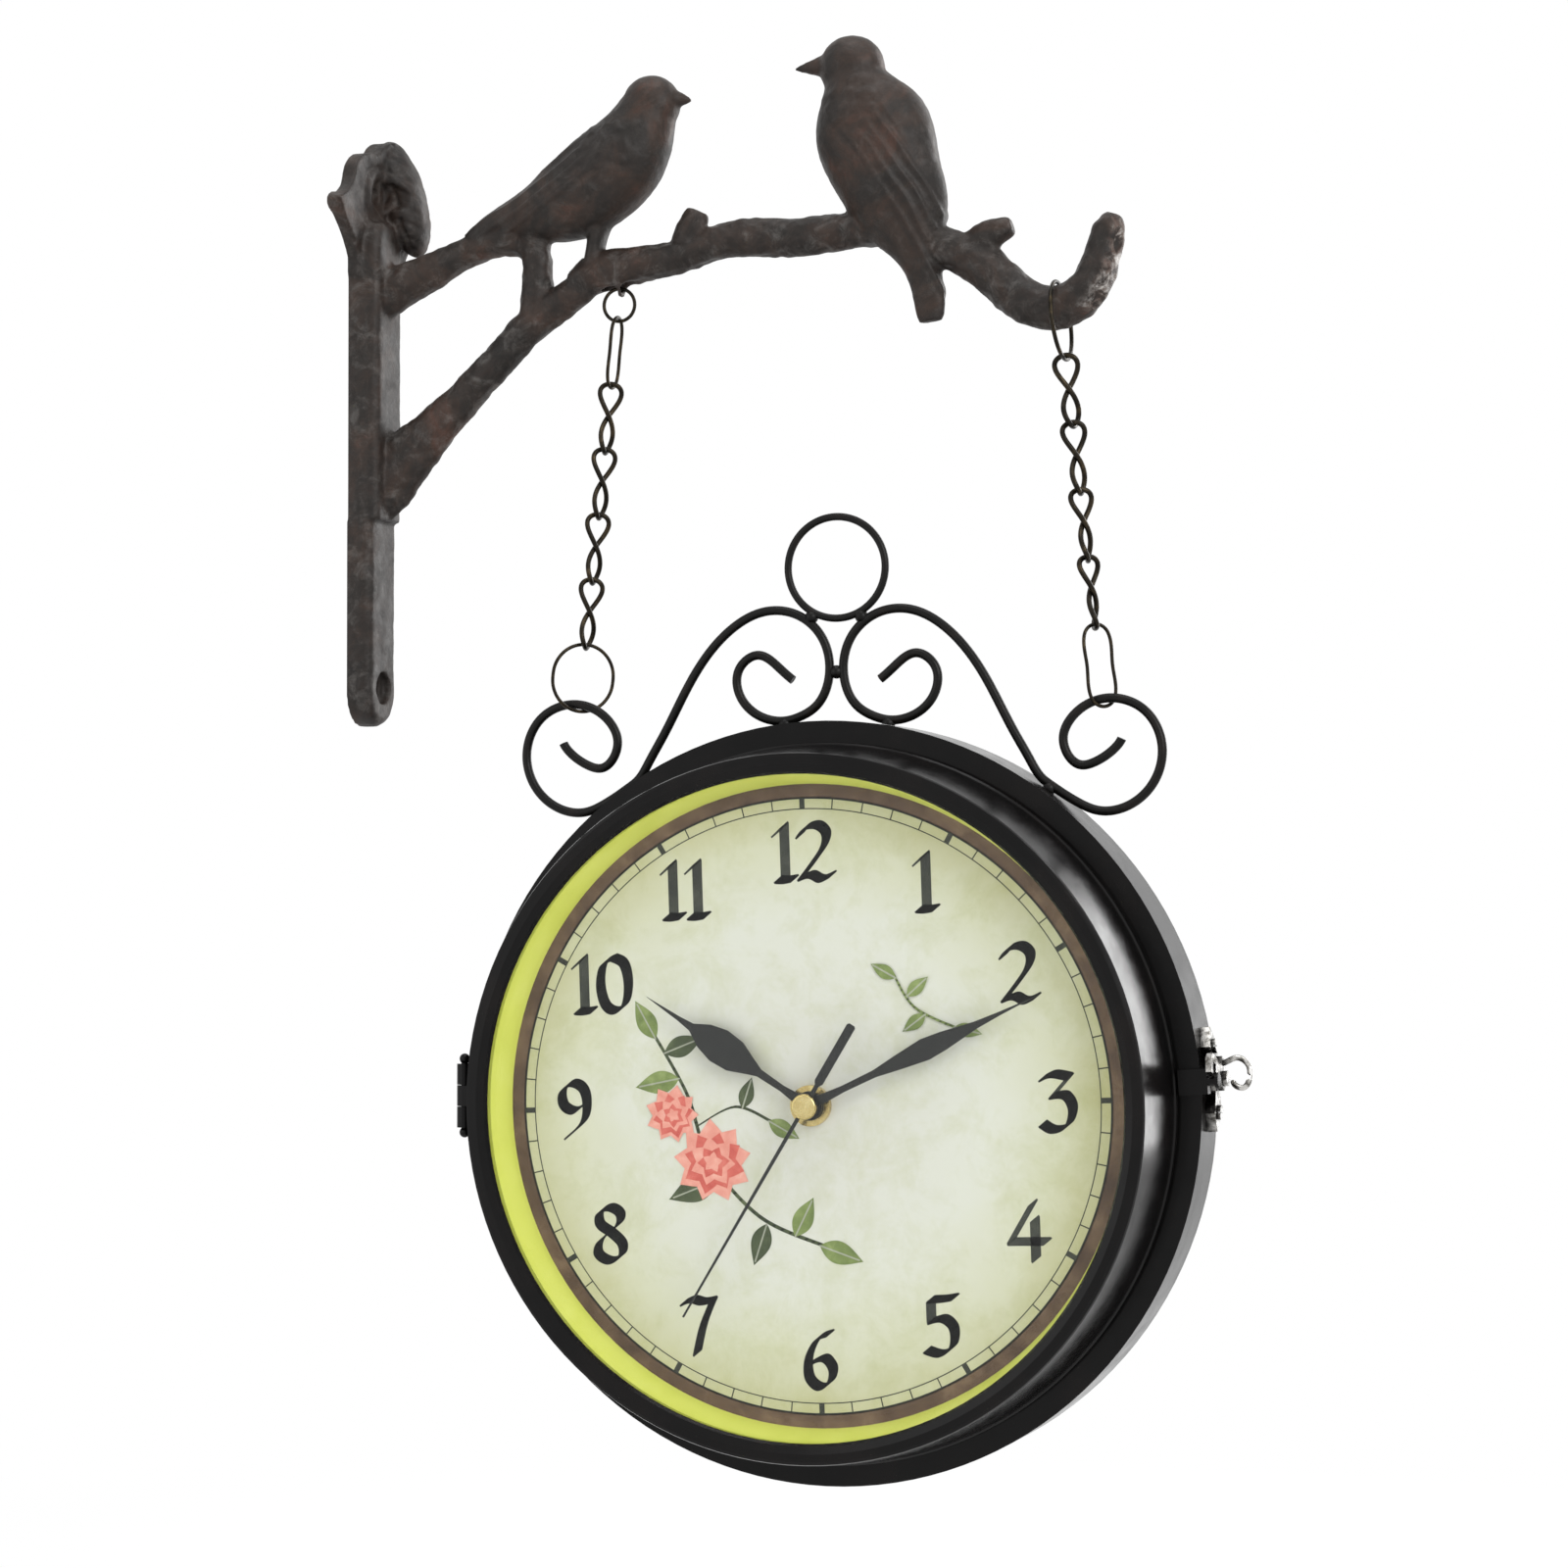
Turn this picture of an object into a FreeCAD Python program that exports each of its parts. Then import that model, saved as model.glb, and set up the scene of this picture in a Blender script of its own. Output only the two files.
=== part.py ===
import FreeCAD, Part
import math
import os

os.makedirs("parts", exist_ok=True)

# Places, in millimetres: X runs out from the wall, the front dial faces -Y, Z is up
clock_x = 144.0
clock_z = -187.0

# Clearances
touch_gap = 0.05
run_gap = 0.05
wire_gap = 0.1

# Wall plate
plate_wide = 18.0
plate_thick = 9.6
plate_low_thick = 7.6
plate_low_wide = 19.0
plate_step_z = -23.0
plate_bottom_z = -82.0
plate_edge_round = 3.0
hole_spacing = 142.0
hole_r = 2.5
head_r = 4.6
head_depth_x = 5.0
pad_high = 64.0
boss_rim = 1.8
lobe_y = -4.0
lobe_half = (5.8, 10.0, 11.8)
leaf_y = 10.2
leaf_mid = (9.0, 71.4)
leaf_half = (6.4, 8.4, 17.8)
leaf_lean = 16.0
bud_y = -18.0
bud_z = 66.6

# Branch arm: station sizes are half heights, with the half width across the arm
branch_half_y = 5.0
hook_x = 207.8
hook_z = 30.5
hook_half = 6.1
lug_x = 80.2
lug_z = 41.0
lug_r = 3.1
lug_hole_r = 1.5
lug_thick = 1.6
lug_drop = 0.3

# Chains
wire_r = 0.5
hook_wire_r = 0.6
top_ring_r = 4.6
oval_long = 20.0
oval_wide = 8.0
jack_long = 19.6
jack_wide = 6.0
jack_count = 4
left_turn = 18.0
left_twist = 0.0
right_turn = 0.0
right_twist = 11.0
left_ring_turn = 40.0
hook_ring_r = 10.7
bottom_wide = 18.0
bottom_link_wide = 8.0
right_slack = 0.4

# Crown rods
rod_r = 1.28
crown_ring_rod_r = 1.05
crown_ring_r = 14.1
crown_ring_up = 42.8
weld_r = 1.9

# Case
band_r = 105.0
band_wide = 17.0
sheet = 1.2
wall_back_r = 98.5
wall_front_r = 95.7
lip_r = 89.9
case_deep = 74.4
lip_back = 1.7
bead_high = 0.5
dial_back = 14.7
lens_thick = 2.0
dial_thick = 0.8
liner_foot_r = 87.4
liner_sheet = 1.2
retainer_wide = 4.0
retainer_thick = 2.0

# Movement
move_side = 56.0
move_deep = 16.4
move_wall = 1.2
post_r = 4.0
post_long = 2.5
nut_r = 5.6
nut_long = 2.0
cell_r = 7.1
cell_long = 50.0
cell_drop = 18.6
tip_r = 2.6
tip_long = 1.4

# Gear train behind the dial
gear_centres = 12.0
cannon_teeth = 12
motion_teeth = 36
pinion_teeth = 10
hour_teeth = 40
tooth_slack = 0.16
gear_thick = 1.0
gear_gap = 0.4

# Hands
hour_tube_r = 2.5
minute_tube_r = 1.75
second_arbor_r = 0.5
tube_wall = 0.65
hand_step = 1.6
hand_thick = 0.45
hour_long = 55.0
minute_long = 71.0
second_long = 67.5
second_tail = 26.0
hour_angle = 302.0
minute_angle = 64.5
second_angle = 211.0
cap_r = 3.5
cap_high = 1.3

# Hinge at nine o'clock
pin_r = 1.0
knuckle_r = 2.2
hinge_half = 9.0
hinge_mid = 2.9
hinge_sheet = 0.95
pin_out = 2.6

# Latch near three o'clock
latch_angle = 4.2
latch_sheet = 2.6
latch_screw_step = 8.9
latch_wide = 9.0
screw_r = 2.0
screw_high = 0.9
hook_thick = 1.6
hook_lift = 18.0
stud_r = 1.3
stud_head_r = 2.2
scroll_r = 0.8


def vec(x, y, z):
    return FreeCAD.Vector(x, y, z)


AXIS_X = vec(1, 0, 0)
AXIS_Y = vec(0, 1, 0)
AXIS_Z = vec(0, 0, 1)
ZERO = vec(0, 0, 0)


# Small makers
def rod_y(r, y0, y1, x=0.0, z=0.0):
    return Part.makeCylinder(r, y1 - y0, vec(x, y0, z), AXIS_Y)


def tube_y(outer, inner, y0, y1):
    return rod_y(outer, y0, y1).cut(rod_y(inner, y0 - 1, y1 + 1))


def rod_x(r, x0, x1, y=0.0, z=0.0):
    return Part.makeCylinder(r, x1 - x0, vec(x0, y, z), AXIS_X)


def block(x0, x1, y0, y1, z0, z1):
    return Part.makeBox(x1 - x0, y1 - y0, z1 - z0, vec(x0, y0, z0))


def turned(points):
    ring = [vec(r, y, 0) for r, y in points]
    face = Part.Face(Part.makePolygon(ring + ring[:1]))
    return face.revolve(ZERO, AXIS_Y, 360)


def sheet_xz(points, y0, y1):
    ring = [vec(x, y0, z) for x, z in points]
    face = Part.Face(Part.makePolygon(ring + ring[:1]))
    return face.extrude(vec(0, y1 - y0, 0))


def spun(shape, angle, about=ZERO, axis=AXIS_Y):
    out = shape.copy()
    out.rotate(about, axis, angle)
    return out


def moved(shape, x, y, z):
    out = shape.copy()
    out.translate(vec(x, y, z))
    return out


def fused(shapes):
    first = shapes[0]
    return first.fuse(shapes[1:]).removeSplitter()


def rounded(shape, test, radius):
    edges = [e for e in shape.Edges if test(e)]
    return shape.makeFillet(radius, edges)


# A limb in the XZ plane through stations of x, z, half height and half width
def limb(stations):
    sections = []
    last = len(stations) - 1
    for i, (x, z, high, wide) in enumerate(stations):
        before = stations[max(i - 1, 0)]
        after = stations[min(i + 1, last)]
        run = vec(after[0] - before[0], 0, after[1] - before[1]).normalize()
        up = vec(-run.z, 0, run.x)
        frame = FreeCAD.Matrix(
            up.x * high, 0, run.x, x,
            0, wide, 0, 0,
            up.z * high, 0, run.z, z,
            0, 0, 0, 1)
        ring = Part.makeCircle(1.0).transformGeometry(frame)
        sections.append(Part.Wire([ring]))
    return Part.makeLoft(sections, True, False)


def ball(x, y, z, rx, ry, rz):
    frame = FreeCAD.Matrix(rx, 0, 0, x, 0, ry, 0, y, 0, 0, rz, z, 0, 0, 0, 1)
    return Part.makeSphere(1.0).transformGeometry(frame)


# Bent round wire along a curve
def bent_wire(points, r, closed, parts=1):
    curve = Part.BSplineCurve()
    curve.interpolate([vec(*p) for p in points], PeriodicFlag=closed)
    first = curve.FirstParameter
    step = (curve.LastParameter - first) / parts
    runs = []
    for i in range(parts):
        start = first + i * step
        ring = Part.Wire([Part.makeCircle(r, curve.value(start), curve.tangent(start)[0])])
        path = Part.Wire([curve.toShape(start, start + step)])
        runs.append(path.makePipeShell([ring], True, False))
    return runs[0] if parts == 1 else fused(runs)


def link_loop(top, long, wide, r, turn):
    straight = max(long - wide, 0.0)
    half = wide / 2
    points = []
    for i in range(24):
        a = 2 * math.pi * i / 24
        side = straight / 2 * (1 if math.cos(a) > 0 else -1)
        if abs(math.cos(a)) < 1e-6:
            side = 0.0
        points.append((half * math.sin(a), 0, half * math.cos(a) + side - top - long / 2))
    return spun(bent_wire(points, r, True), turn, ZERO, AXIS_Z)


# One chain link with its two loops a quarter turn apart
def jack_link(top, turn):
    points = []
    for i in range(28):
        a = 2 * math.pi * i / 28
        z = jack_long / 2 * math.cos(a)
        side = jack_wide / 2 * math.sin(2 * a) * 1.05
        plane = math.radians(45.0 * (1 - math.cos(a)))
        apart = (wire_r + wire_gap) * math.sin(a)
        x = side * math.cos(plane) - apart * math.sin(plane)
        y = side * math.sin(plane) + apart * math.cos(plane)
        points.append((x, y, z - top - jack_long / 2))
    return spun(bent_wire(points, wire_r, True, 2), turn, ZERO, AXIS_Z)


# Involute gear blank, with one tooth pointing to +Z before it is turned
def gear(teeth, module, y0, y1, bore, turn):
    pitch = module * teeth / 2
    base = pitch * math.cos(math.radians(20))
    tip = pitch + 0.8 * module
    root = pitch - 1.15 * module
    roll = math.tan(math.radians(20)) - math.radians(20)
    half = math.pi / (2 * teeth) - tooth_slack / (2 * pitch)

    def side(r):
        if r <= base:
            return half + roll
        press = math.acos(base / r)
        return half + roll - (math.tan(press) - press)

    radii = [root, max(root, base), (max(root, base) + tip) / 2, tip]
    points = []
    for i in range(teeth):
        mid = 2 * math.pi * i / teeth
        flank = [(r, -side(r)) for r in radii] + [(r, side(r)) for r in reversed(radii)]
        for r, a in flank:
            spot = (r * math.sin(mid + a), r * math.cos(mid + a))
            if not points or math.dist(points[-1], spot) > 1e-4:
                points.append(spot)
    blank = sheet_xz(points, y0, y1).cut(rod_y(bore, y0 - 1, y1 + 1))
    return spun(blank, turn)


shapes = {}

# Wall plate with its leaf and two screw holes
low_r = plate_low_wide / 2
low_bar = block(0, plate_low_thick, -low_r, low_r, plate_bottom_z + low_r, plate_step_z)
low_bar = low_bar.fuse(rod_x(low_r, 0, plate_low_thick, 0, plate_bottom_z + low_r)).removeSplitter()
low_bar = rounded(low_bar, lambda e: e.BoundBox.XMin > plate_low_thick - 0.01
                  and e.BoundBox.ZMin < plate_step_z - 0.1, plate_edge_round)
high_r = plate_wide / 2
high_bar = block(0, plate_thick, -high_r, high_r, plate_step_z, pad_high - high_r)
high_bar = high_bar.fuse(rod_x(high_r, 0, plate_thick, 0, pad_high - high_r)).removeSplitter()
high_bar = rounded(high_bar, lambda e: e.BoundBox.XMin > plate_thick - 0.01
                   and e.BoundBox.ZMax > plate_step_z + 0.1, plate_edge_round)
lobe = ball(0, lobe_y, hole_spacing / 2, *lobe_half)
leaf = ball(leaf_mid[0], leaf_y, leaf_mid[1], *leaf_half)
leaf = spun(leaf, -leaf_lean, vec(leaf_mid[0], 0, leaf_mid[1]))
bud = ball(0, bud_y, bud_z, 3.4, 6.0, 3.4)
boss = rod_x(head_r + boss_rim, 0, head_depth_x + 0.9, 0, hole_spacing / 2)
plate = fused([low_bar, high_bar, lobe, boss, leaf, bud])
plate = plate.cut(block(-40, 0, -40, 40, -100, 120))
for z in (-hole_spacing / 2, hole_spacing / 2):
    plate = plate.cut(rod_x(hole_r, -1, 30, 0, z))
    plate = plate.cut(rod_x(head_r, head_depth_x, 30, 0, z))
shapes["wall_plate"] = plate

# Branch arm with its struts, hook and chain lug
upper_strut = limb([
    (4.0, 41.0, 8.0, 5.2), (14.0, 45.2, 6.4, 5.0), (26.0, 50.2, 4.8, 4.6),
    (38.0, 55.2, 4.4, 4.6), (50.0, 55.8, 4.6, 4.6)])
lower_strut = limb([
    (3.0, -13.4, 11.0, 5.2), (11.0, -7.6, 9.8, 5.0), (19.5, -0.2, 7.2, 4.8), (29.1, 8.6, 5.6, 4.6),
    (36.4, 15.6, 5.1, 4.6), (46.0, 25.2, 5.0, 4.6), (54.0, 32.4, 5.0, 4.6), (61.6, 37.4, 4.9, 4.5),
    (68.7, 41.8, 4.4, 4.1), (74.0, 45.2, 3.0, 3.0)])
upright = limb([
    (53.6, 32.0, 3.8, 4.0), (54.7, 42.0, 4.4, 4.2), (54.8, 50.0, 4.4, 4.2), (53.6, 58.0, 4.4, 4.2)])
branch = limb([
    (66.0, 42.6, 4.2, 4.3), (70.5, 44.6, 5.3, 4.8), (80.0, 46.9, 5.5, branch_half_y),
    (97.0, 49.2, 4.6, branch_half_y), (111.0, 53.2, 5.0, branch_half_y),
    (130.0, 53.3, 5.4, branch_half_y), (150.0, 54.2, 5.0, branch_half_y),
    (165.0, 52.6, 5.0, branch_half_y), (177.0, 47.8, 5.4, branch_half_y),
    (188.0, 41.4, 6.2, 5.2), (197.5, 33.0, 5.9, 5.4), (hook_x, hook_z, hook_half, 5.5),
    (216.2, 35.8, 5.8, 5.4), (219.6, 43.4, 5.2, 4.8), (221.2, 49.6, 4.7, 4.3),
    (222.2, 53.4, 3.6, 3.4), (222.7, 55.6, 1.4, 1.4)])
nub = limb([(99.6, 52.0, 4.6, 4.0), (101.8, 57.6, 4.2, 3.6), (103.4, 61.8, 3.4, 3.0)])
hook_leaf = limb([
    (181.0, 45.0, 5.2, 4.2), (187.0, 50.4, 4.6, 3.8), (191.4, 52.8, 3.6, 3.2), (194.6, 53.6, 2.4, 2.4)])
lug_mid = lug_z - wire_r - lug_drop + lug_hole_r
lug = rod_x(lug_r, lug_x - lug_thick / 2, lug_x + lug_thick / 2, 0, lug_mid)
lug_neck = block(lug_x - lug_thick / 2, lug_x + lug_thick / 2, -lug_r, lug_r, lug_mid, lug_mid + 4.0)
arm = fused([branch, lower_strut, upper_strut, upright, nub, hook_leaf, lug, lug_neck])
arm = arm.cut(rod_x(lug_hole_r, lug_x - 6, lug_x + 6, 0, lug_mid))
arm = arm.cut(block(-40, 1, -20, 20, -60, 70)).cut(plate)
shapes["branch_arm"] = arm

# Two perched birds
left_bird = fused([
    limb([(22.0, 51.6, 2.2, 2.6), (35.6, 55.8, 3.6, 4.4), (51.0, 62.4, 6.9, 7.4),
          (64.4, 66.6, 11.7, 10.6), (74.0, 72.4, 13.2, 12.0), (82.0, 79.4, 12.2, 11.4),
          (86.8, 87.2, 9.7, 9.2), (88.8, 92.4, 8.0, 7.6)]),
    ball(89.4, 0, 92.8, 8.3, 7.5, 8.1),
    Part.makeCone(3.8, 0.5, 7.6, vec(94.0, 0, 94.2), vec(7.6, 0, -1.0)),
    limb([(75.6, 63.0, 3.6, 5.2), (73.2, 56.0, 2.6, 4.4), (72.2, 49.0, 2.8, 4.4)])])
left_bird = left_bird.cut(arm).cut(plate)
right_bird = fused([
    limb([(149.0, 101.0, 8.2, 7.6), (150.0, 95.0, 9.6, 8.8), (153.0, 86.0, 15.4, 11.6),
          (156.6, 76.0, 16.4, 12.6), (160.4, 66.0, 14.6, 11.4), (164.8, 56.0, 12.0, 8.6),
          (168.0, 47.0, 7.0, 6.0), (170.2, 38.0, 4.7, 3.4), (171.2, 28.0, 3.2, 2.2)]),
    ball(148.6, 0, 99.6, 9.2, 8.2, 8.9),
    Part.makeCone(3.8, 0.5, 10.6, vec(142.4, 0, 100.6), vec(-10.6, 0, -0.5)),
    limb([(151.0, 70.0, 3.0, 5.0), (153.6, 62.0, 2.2, 4.0), (154.5, 54.0, 2.6, 4.2)])])
right_bird = right_bird.cut(arm)
shapes["left_bird"] = max(left_bird.Solids, key=lambda s: s.Volume)
shapes["right_bird"] = right_bird

# Crown rods over the band: angle from twelve o'clock, then height of the rod's middle above the band
rest_up = rod_r + touch_gap
scroll_route = [
    (6.2, 12.4), (7.85, 16.1), (10.6, 20.9), (13.3, 18.4), (13.95, 9.9), (10.7, 2.7), (8.2, rest_up + 0.1),
    (5.6, 2.1), (3.2, 4.4), (0.97, 14.2), (2.1, 24.3), (5.1, 30.6), (8.8, 32.5), (13.4, 29.5),
    (19.75, 20.0), (26.6, 8.7), (30.5, 4.1), (33.4, rest_up + 0.3), (35.2, rest_up + 0.12),
    (37.0, rest_up + 0.25), (39.6, 2.2), (42.9, 4.4), (45.9, 15.5), (43.7, 28.5), (39.2, 33.3)]
eye_angle = 34.5
eye_up = 29.1
scroll_finish = [
    (eye_angle, eye_up), (32.4, 18.9), (33.06, 13.6), (36.85, 10.7), (38.2, 13.7), (39.12, 23.4)]


def over_band(angle, up):
    a = math.radians(angle)
    return ((band_r + up) * math.sin(a), 0.0, (band_r + up) * math.cos(a))


route = [over_band(a, up) for a, up in scroll_route + scroll_finish]
right_scroll = bent_wire(route, rod_r, False)
left_scroll = spun(right_scroll, 180, ZERO, AXIS_Z)
crown_ring = Part.makeTorus(crown_ring_r, crown_ring_rod_r, vec(0, 0, band_r + crown_ring_up), AXIS_Y)
weld_spots = [over_band(3.1, 29.3), over_band(0.0, 13.8), over_band(8.2, 0.4), over_band(35.2, 0.4)]
beads = []
for x, y, z in weld_spots:
    for side in ((1, -1) if x > 0.5 else (1,)):
        bead = Part.makeSphere(weld_r, vec(side * x, y, z))
        for other in (right_scroll, left_scroll, crown_ring, rod_y(band_r + touch_gap, -9, 9)):
            bead = bead.cut(other)
        beads += bead.Solids

# Case halves: one half is made facing front, the other is the same half turned about
half_deep = case_deep / 2
seam_y = -band_wide / 2
lip_y = -half_deep + lip_back
dial_y = -half_deep + dial_back
bead_y = seam_y - sheet - 2.2
taper = (wall_back_r - wall_front_r) / (half_deep + seam_y)


def wall_in(y):
    return wall_front_r + taper * (y + half_deep) - sheet


lens_y = lip_y + sheet + touch_gap
lens_r = wall_in(lens_y) - touch_gap
liner_y = lens_y + lens_thick + touch_gap
move_y = dial_y + dial_thick + 0.2
move_back = move_y + move_deep


def hand_blade(points, angle, y):
    mirror = [(-x, z) for x, z in reversed(points) if abs(x) > 1e-6]
    return spun(sheet_xz(points + mirror, y, y + hand_thick), angle)


def half_case():
    out = {}
    out["pan"] = turned([
        (lip_r, lip_y), (lip_r + 0.6, lip_y - 0.9), (lip_r + 2.6, -half_deep),
        (wall_front_r - 1.1, -half_deep),
        (wall_front_r - 0.3, -half_deep + 0.35), (wall_front_r, -half_deep + 1.1),
        (wall_back_r - 0.1, bead_y - 1.6), (wall_back_r + bead_high * 0.7, bead_y - 1.1),
        (wall_back_r + bead_high, bead_y), (wall_back_r + bead_high * 0.7, bead_y + 1.1),
        (wall_back_r, seam_y - sheet), (band_r, seam_y - sheet), (band_r, seam_y - touch_gap),
        (wall_back_r - sheet, seam_y - touch_gap), (wall_in(lip_y + sheet), lip_y + sheet),
        (lip_r + 0.3, lip_y + sheet), (lip_r, lip_y + 0.6)])
    out["lens"] = rod_y(lens_r, lens_y, lens_y + lens_thick)
    liner_top = lip_r + 0.2
    out["liner"] = turned([
        (liner_top, liner_y), (wall_in(liner_y) - touch_gap, liner_y),
        (wall_in(liner_y) - touch_gap, liner_y + liner_sheet),
        (liner_top + liner_sheet, liner_y + liner_sheet),
        (liner_foot_r + liner_sheet, dial_y - 1.2), (liner_foot_r + 4.0, dial_y - 1.0),
        (liner_foot_r + 4.0, dial_y - touch_gap), (liner_foot_r, dial_y - touch_gap),
        (liner_foot_r + 0.3, dial_y - 1.4)])
    dial_r = wall_in(dial_y) - touch_gap
    dial = rod_y(dial_r, dial_y, dial_y + dial_thick)
    out["dial"] = dial.cut(rod_y(post_r + run_gap, dial_y - 1, dial_y + 2))
    ring_y0 = dial_y + dial_thick + touch_gap
    ring_r = wall_in(ring_y0) - touch_gap
    out["retainer"] = tube_y(ring_r, ring_r - retainer_wide, ring_y0, ring_y0 + retainer_thick)

    # Movement box, its cover and the cell
    side = move_side / 2
    box = block(-side, side, move_y, move_back - move_wall - touch_gap, -side, side)
    box = box.cut(block(-side + move_wall, side - move_wall, move_y + move_wall, move_back,
                        -side + move_wall, side - move_wall))
    box = box.fuse(rod_y(post_r, dial_y - post_long, move_y + 0.1))
    box = box.cut(rod_y(hour_tube_r + run_gap, dial_y - 10, move_y + move_wall + 1))
    stud_y1 = move_y + move_wall + 2 * gear_thick + 2 * gear_gap + 0.4
    box = box.fuse(rod_y(0.75, move_y + 0.2, stud_y1, 0, gear_centres))
    out["movement_case"] = box.removeSplitter()
    cover = block(-side, side, move_back - move_wall, move_back, -side, side)
    bay = (cell_long + tip_long) / 2 + 0.4
    cover = cover.cut(block(-bay, bay, move_back - 3, move_back + 1, -cell_drop - cell_r - 0.3,
                            -cell_drop + cell_r + 0.3))
    arbor_end = move_y + move_wall + 3 * gear_thick + 4 * gear_gap + 3.0
    cover = cover.fuse(rod_y(2.0, arbor_end - 1.6, move_back - move_wall + 0.1))
    cover = cover.cut(rod_y(second_arbor_r + run_gap, arbor_end - 3, arbor_end + 0.2))
    cover = cover.fuse(rod_y(4.5, move_back - 0.1, move_back + 2.2, 14.0, 12.0))
    out["movement_cover"] = cover.removeSplitter()
    cell_y = move_y + move_wall + cell_r + touch_gap
    cell = rod_x(cell_r, -cell_long / 2, cell_long / 2 - 0.6, cell_y, -cell_drop)
    cell = cell.fuse(rod_x(tip_r, cell_long / 2 - 0.7, cell_long / 2 + tip_long, cell_y, -cell_drop))
    out["cell"] = cell.removeSplitter()
    nut_front = dial_y - touch_gap - nut_long
    out["nut"] = tube_y(nut_r, post_r + 0.02, nut_front, dial_y - touch_gap)

    # Motion work
    first_module = 2 * gear_centres / (cannon_teeth + motion_teeth)
    second_module = 2 * gear_centres / (pinion_teeth + hour_teeth)
    low0 = move_y + move_wall + gear_gap
    low1 = low0 + gear_thick
    high0 = low1 + gear_gap
    high1 = high0 + gear_thick
    hour_bore = hour_tube_r - tube_wall
    minute_bore = minute_tube_r - tube_wall
    hour_y = dial_y - post_long - 1.1
    minute_y = hour_y - hand_step
    second_y = minute_y - hand_step
    hour_wheel = gear(hour_teeth, second_module, low0, low1, hour_bore, 180.0 / hour_teeth)
    hour_wheel = hour_wheel.fuse(tube_y(hour_tube_r, hour_bore, hour_y - 0.5, low0 + 0.1))
    out["hour_wheel"] = hour_wheel.removeSplitter()
    cannon = gear(cannon_teeth, first_module, high0, high1, minute_bore, 0.0)
    tube = tube_y(minute_tube_r, minute_bore, minute_y - 0.4, high1 + 0.1)
    centre = gear(60, 0.25, high1 + gear_gap, high1 + gear_gap + 0.8, minute_bore, 0.0)
    sleeve = tube_y(minute_tube_r + 0.4, minute_bore, high1 - 0.1, high1 + gear_gap + 0.1)
    out["minute_wheel"] = fused([cannon, tube, sleeve, centre])
    motion = gear(motion_teeth, first_module, high0, high1, 0.8, 180.0 / motion_teeth)
    pinion = gear(pinion_teeth, second_module, low0, high0 + 0.1, 0.8, 0.0)
    motion = motion.fuse(pinion).removeSplitter()
    out["motion_wheel"] = moved(spun(motion, 180.0), 0, 0, gear_centres)
    second_wheel0 = high1 + 2 * gear_gap + 0.8
    second_arbor = rod_y(second_arbor_r, second_y - 0.6, arbor_end)
    second_arbor = second_arbor.fuse(gear(30, 0.36, second_wheel0, second_wheel0 + 0.8, 0.2, 0.0))
    out["second_arbor"] = second_arbor.removeSplitter()

    # Hands
    hour_points = [
        (0, hour_long), (0.6, hour_long * 0.80), (1.1, hour_long * 0.72), (3.6, hour_long * 0.64),
        (4.9, hour_long * 0.55), (4.5, hour_long * 0.45), (2.4, hour_long * 0.36), (1.1, hour_long * 0.30),
        (0.9, hour_long * 0.16), (1.6, 2.0)]
    minute_points = [
        (0, minute_long), (0.5, minute_long * 0.84), (1.0, minute_long * 0.74), (2.5, minute_long * 0.60),
        (3.0, minute_long * 0.52), (2.0, minute_long * 0.40), (1.0, minute_long * 0.30),
        (0.9, minute_long * 0.16), (1.5, 2.0)]
    second_points = [
        (0.25, second_long), (0.5, 8.0), (0.6, -second_tail * 0.26), (1.25, -second_tail * 0.30),
        (1.25, -second_tail + 0.5), (0.8, -second_tail)]
    hour_hand = hand_blade(hour_points, hour_angle, hour_y)
    hour_hand = hour_hand.fuse(rod_y(hour_tube_r + 1.4, hour_y - 0.2, hour_y + hand_thick + 0.4))
    out["hour_hand"] = hour_hand.cut(rod_y(hour_tube_r + 0.02, hour_y - 2, hour_y + 3)).removeSplitter()
    minute_hand = hand_blade(minute_points, minute_angle, minute_y)
    minute_hand = minute_hand.fuse(rod_y(minute_tube_r + 1.6, minute_y - 0.2, minute_y + hand_thick + 0.4))
    minute_hand = minute_hand.cut(rod_y(minute_tube_r + 0.02, minute_y - 2, minute_y + 3))
    out["minute_hand"] = minute_hand.removeSplitter()
    second_hand = hand_blade(second_points, second_angle, second_y)
    second_hand = second_hand.fuse(rod_y(1.8, second_y, second_y + hand_thick + 0.3))
    arbor_hole = rod_y(second_arbor_r + 0.02, second_y - 0.65, second_y + 3)
    out["second_hand"] = second_hand.cut(arbor_hole).removeSplitter()
    cap_back = second_y - touch_gap
    second_cap = rod_y(cap_r, cap_back - cap_high, cap_back)
    cap_front = cap_back - cap_high
    second_cap = rounded(second_cap, lambda e: e.BoundBox.YMax < cap_front + 0.1 and e.Length > 1, 0.6)
    out["second_cap"] = second_cap.cut(arbor_hole)
    return out


front = half_case()
rear = {name: spun(shape, 180, ZERO, AXIS_Z) for name, shape in front.items()}
band = tube_y(band_r, band_r - sheet, seam_y, -seam_y)

# Door hinge at nine o'clock
pin_x = -band_r - pin_out
leaf_x = -band_r - 0.15
hinge_y = seam_y
flange_y = seam_y - sheet - touch_gap
knuckle = Part.makeCylinder(knuckle_r, 2 * hinge_half, vec(pin_x, hinge_y, -hinge_half), AXIS_Z)
rear_leaf = block(leaf_x - 1.3, leaf_x, hinge_y + 1.2, -seam_y - 2.0, -hinge_half, hinge_half)
rear_leaf = rear_leaf.fuse(knuckle)
slot_half = hinge_mid + 0.2
rear_leaf = rear_leaf.cut(block(pin_x - 4, pin_x + 4, hinge_y - 4, hinge_y + 2.6, -slot_half, slot_half))
bore = Part.makeCylinder(pin_r + run_gap, 60, vec(pin_x, hinge_y, -30), AXIS_Z)
rear_leaf = rear_leaf.cut(bore).removeSplitter()
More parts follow.
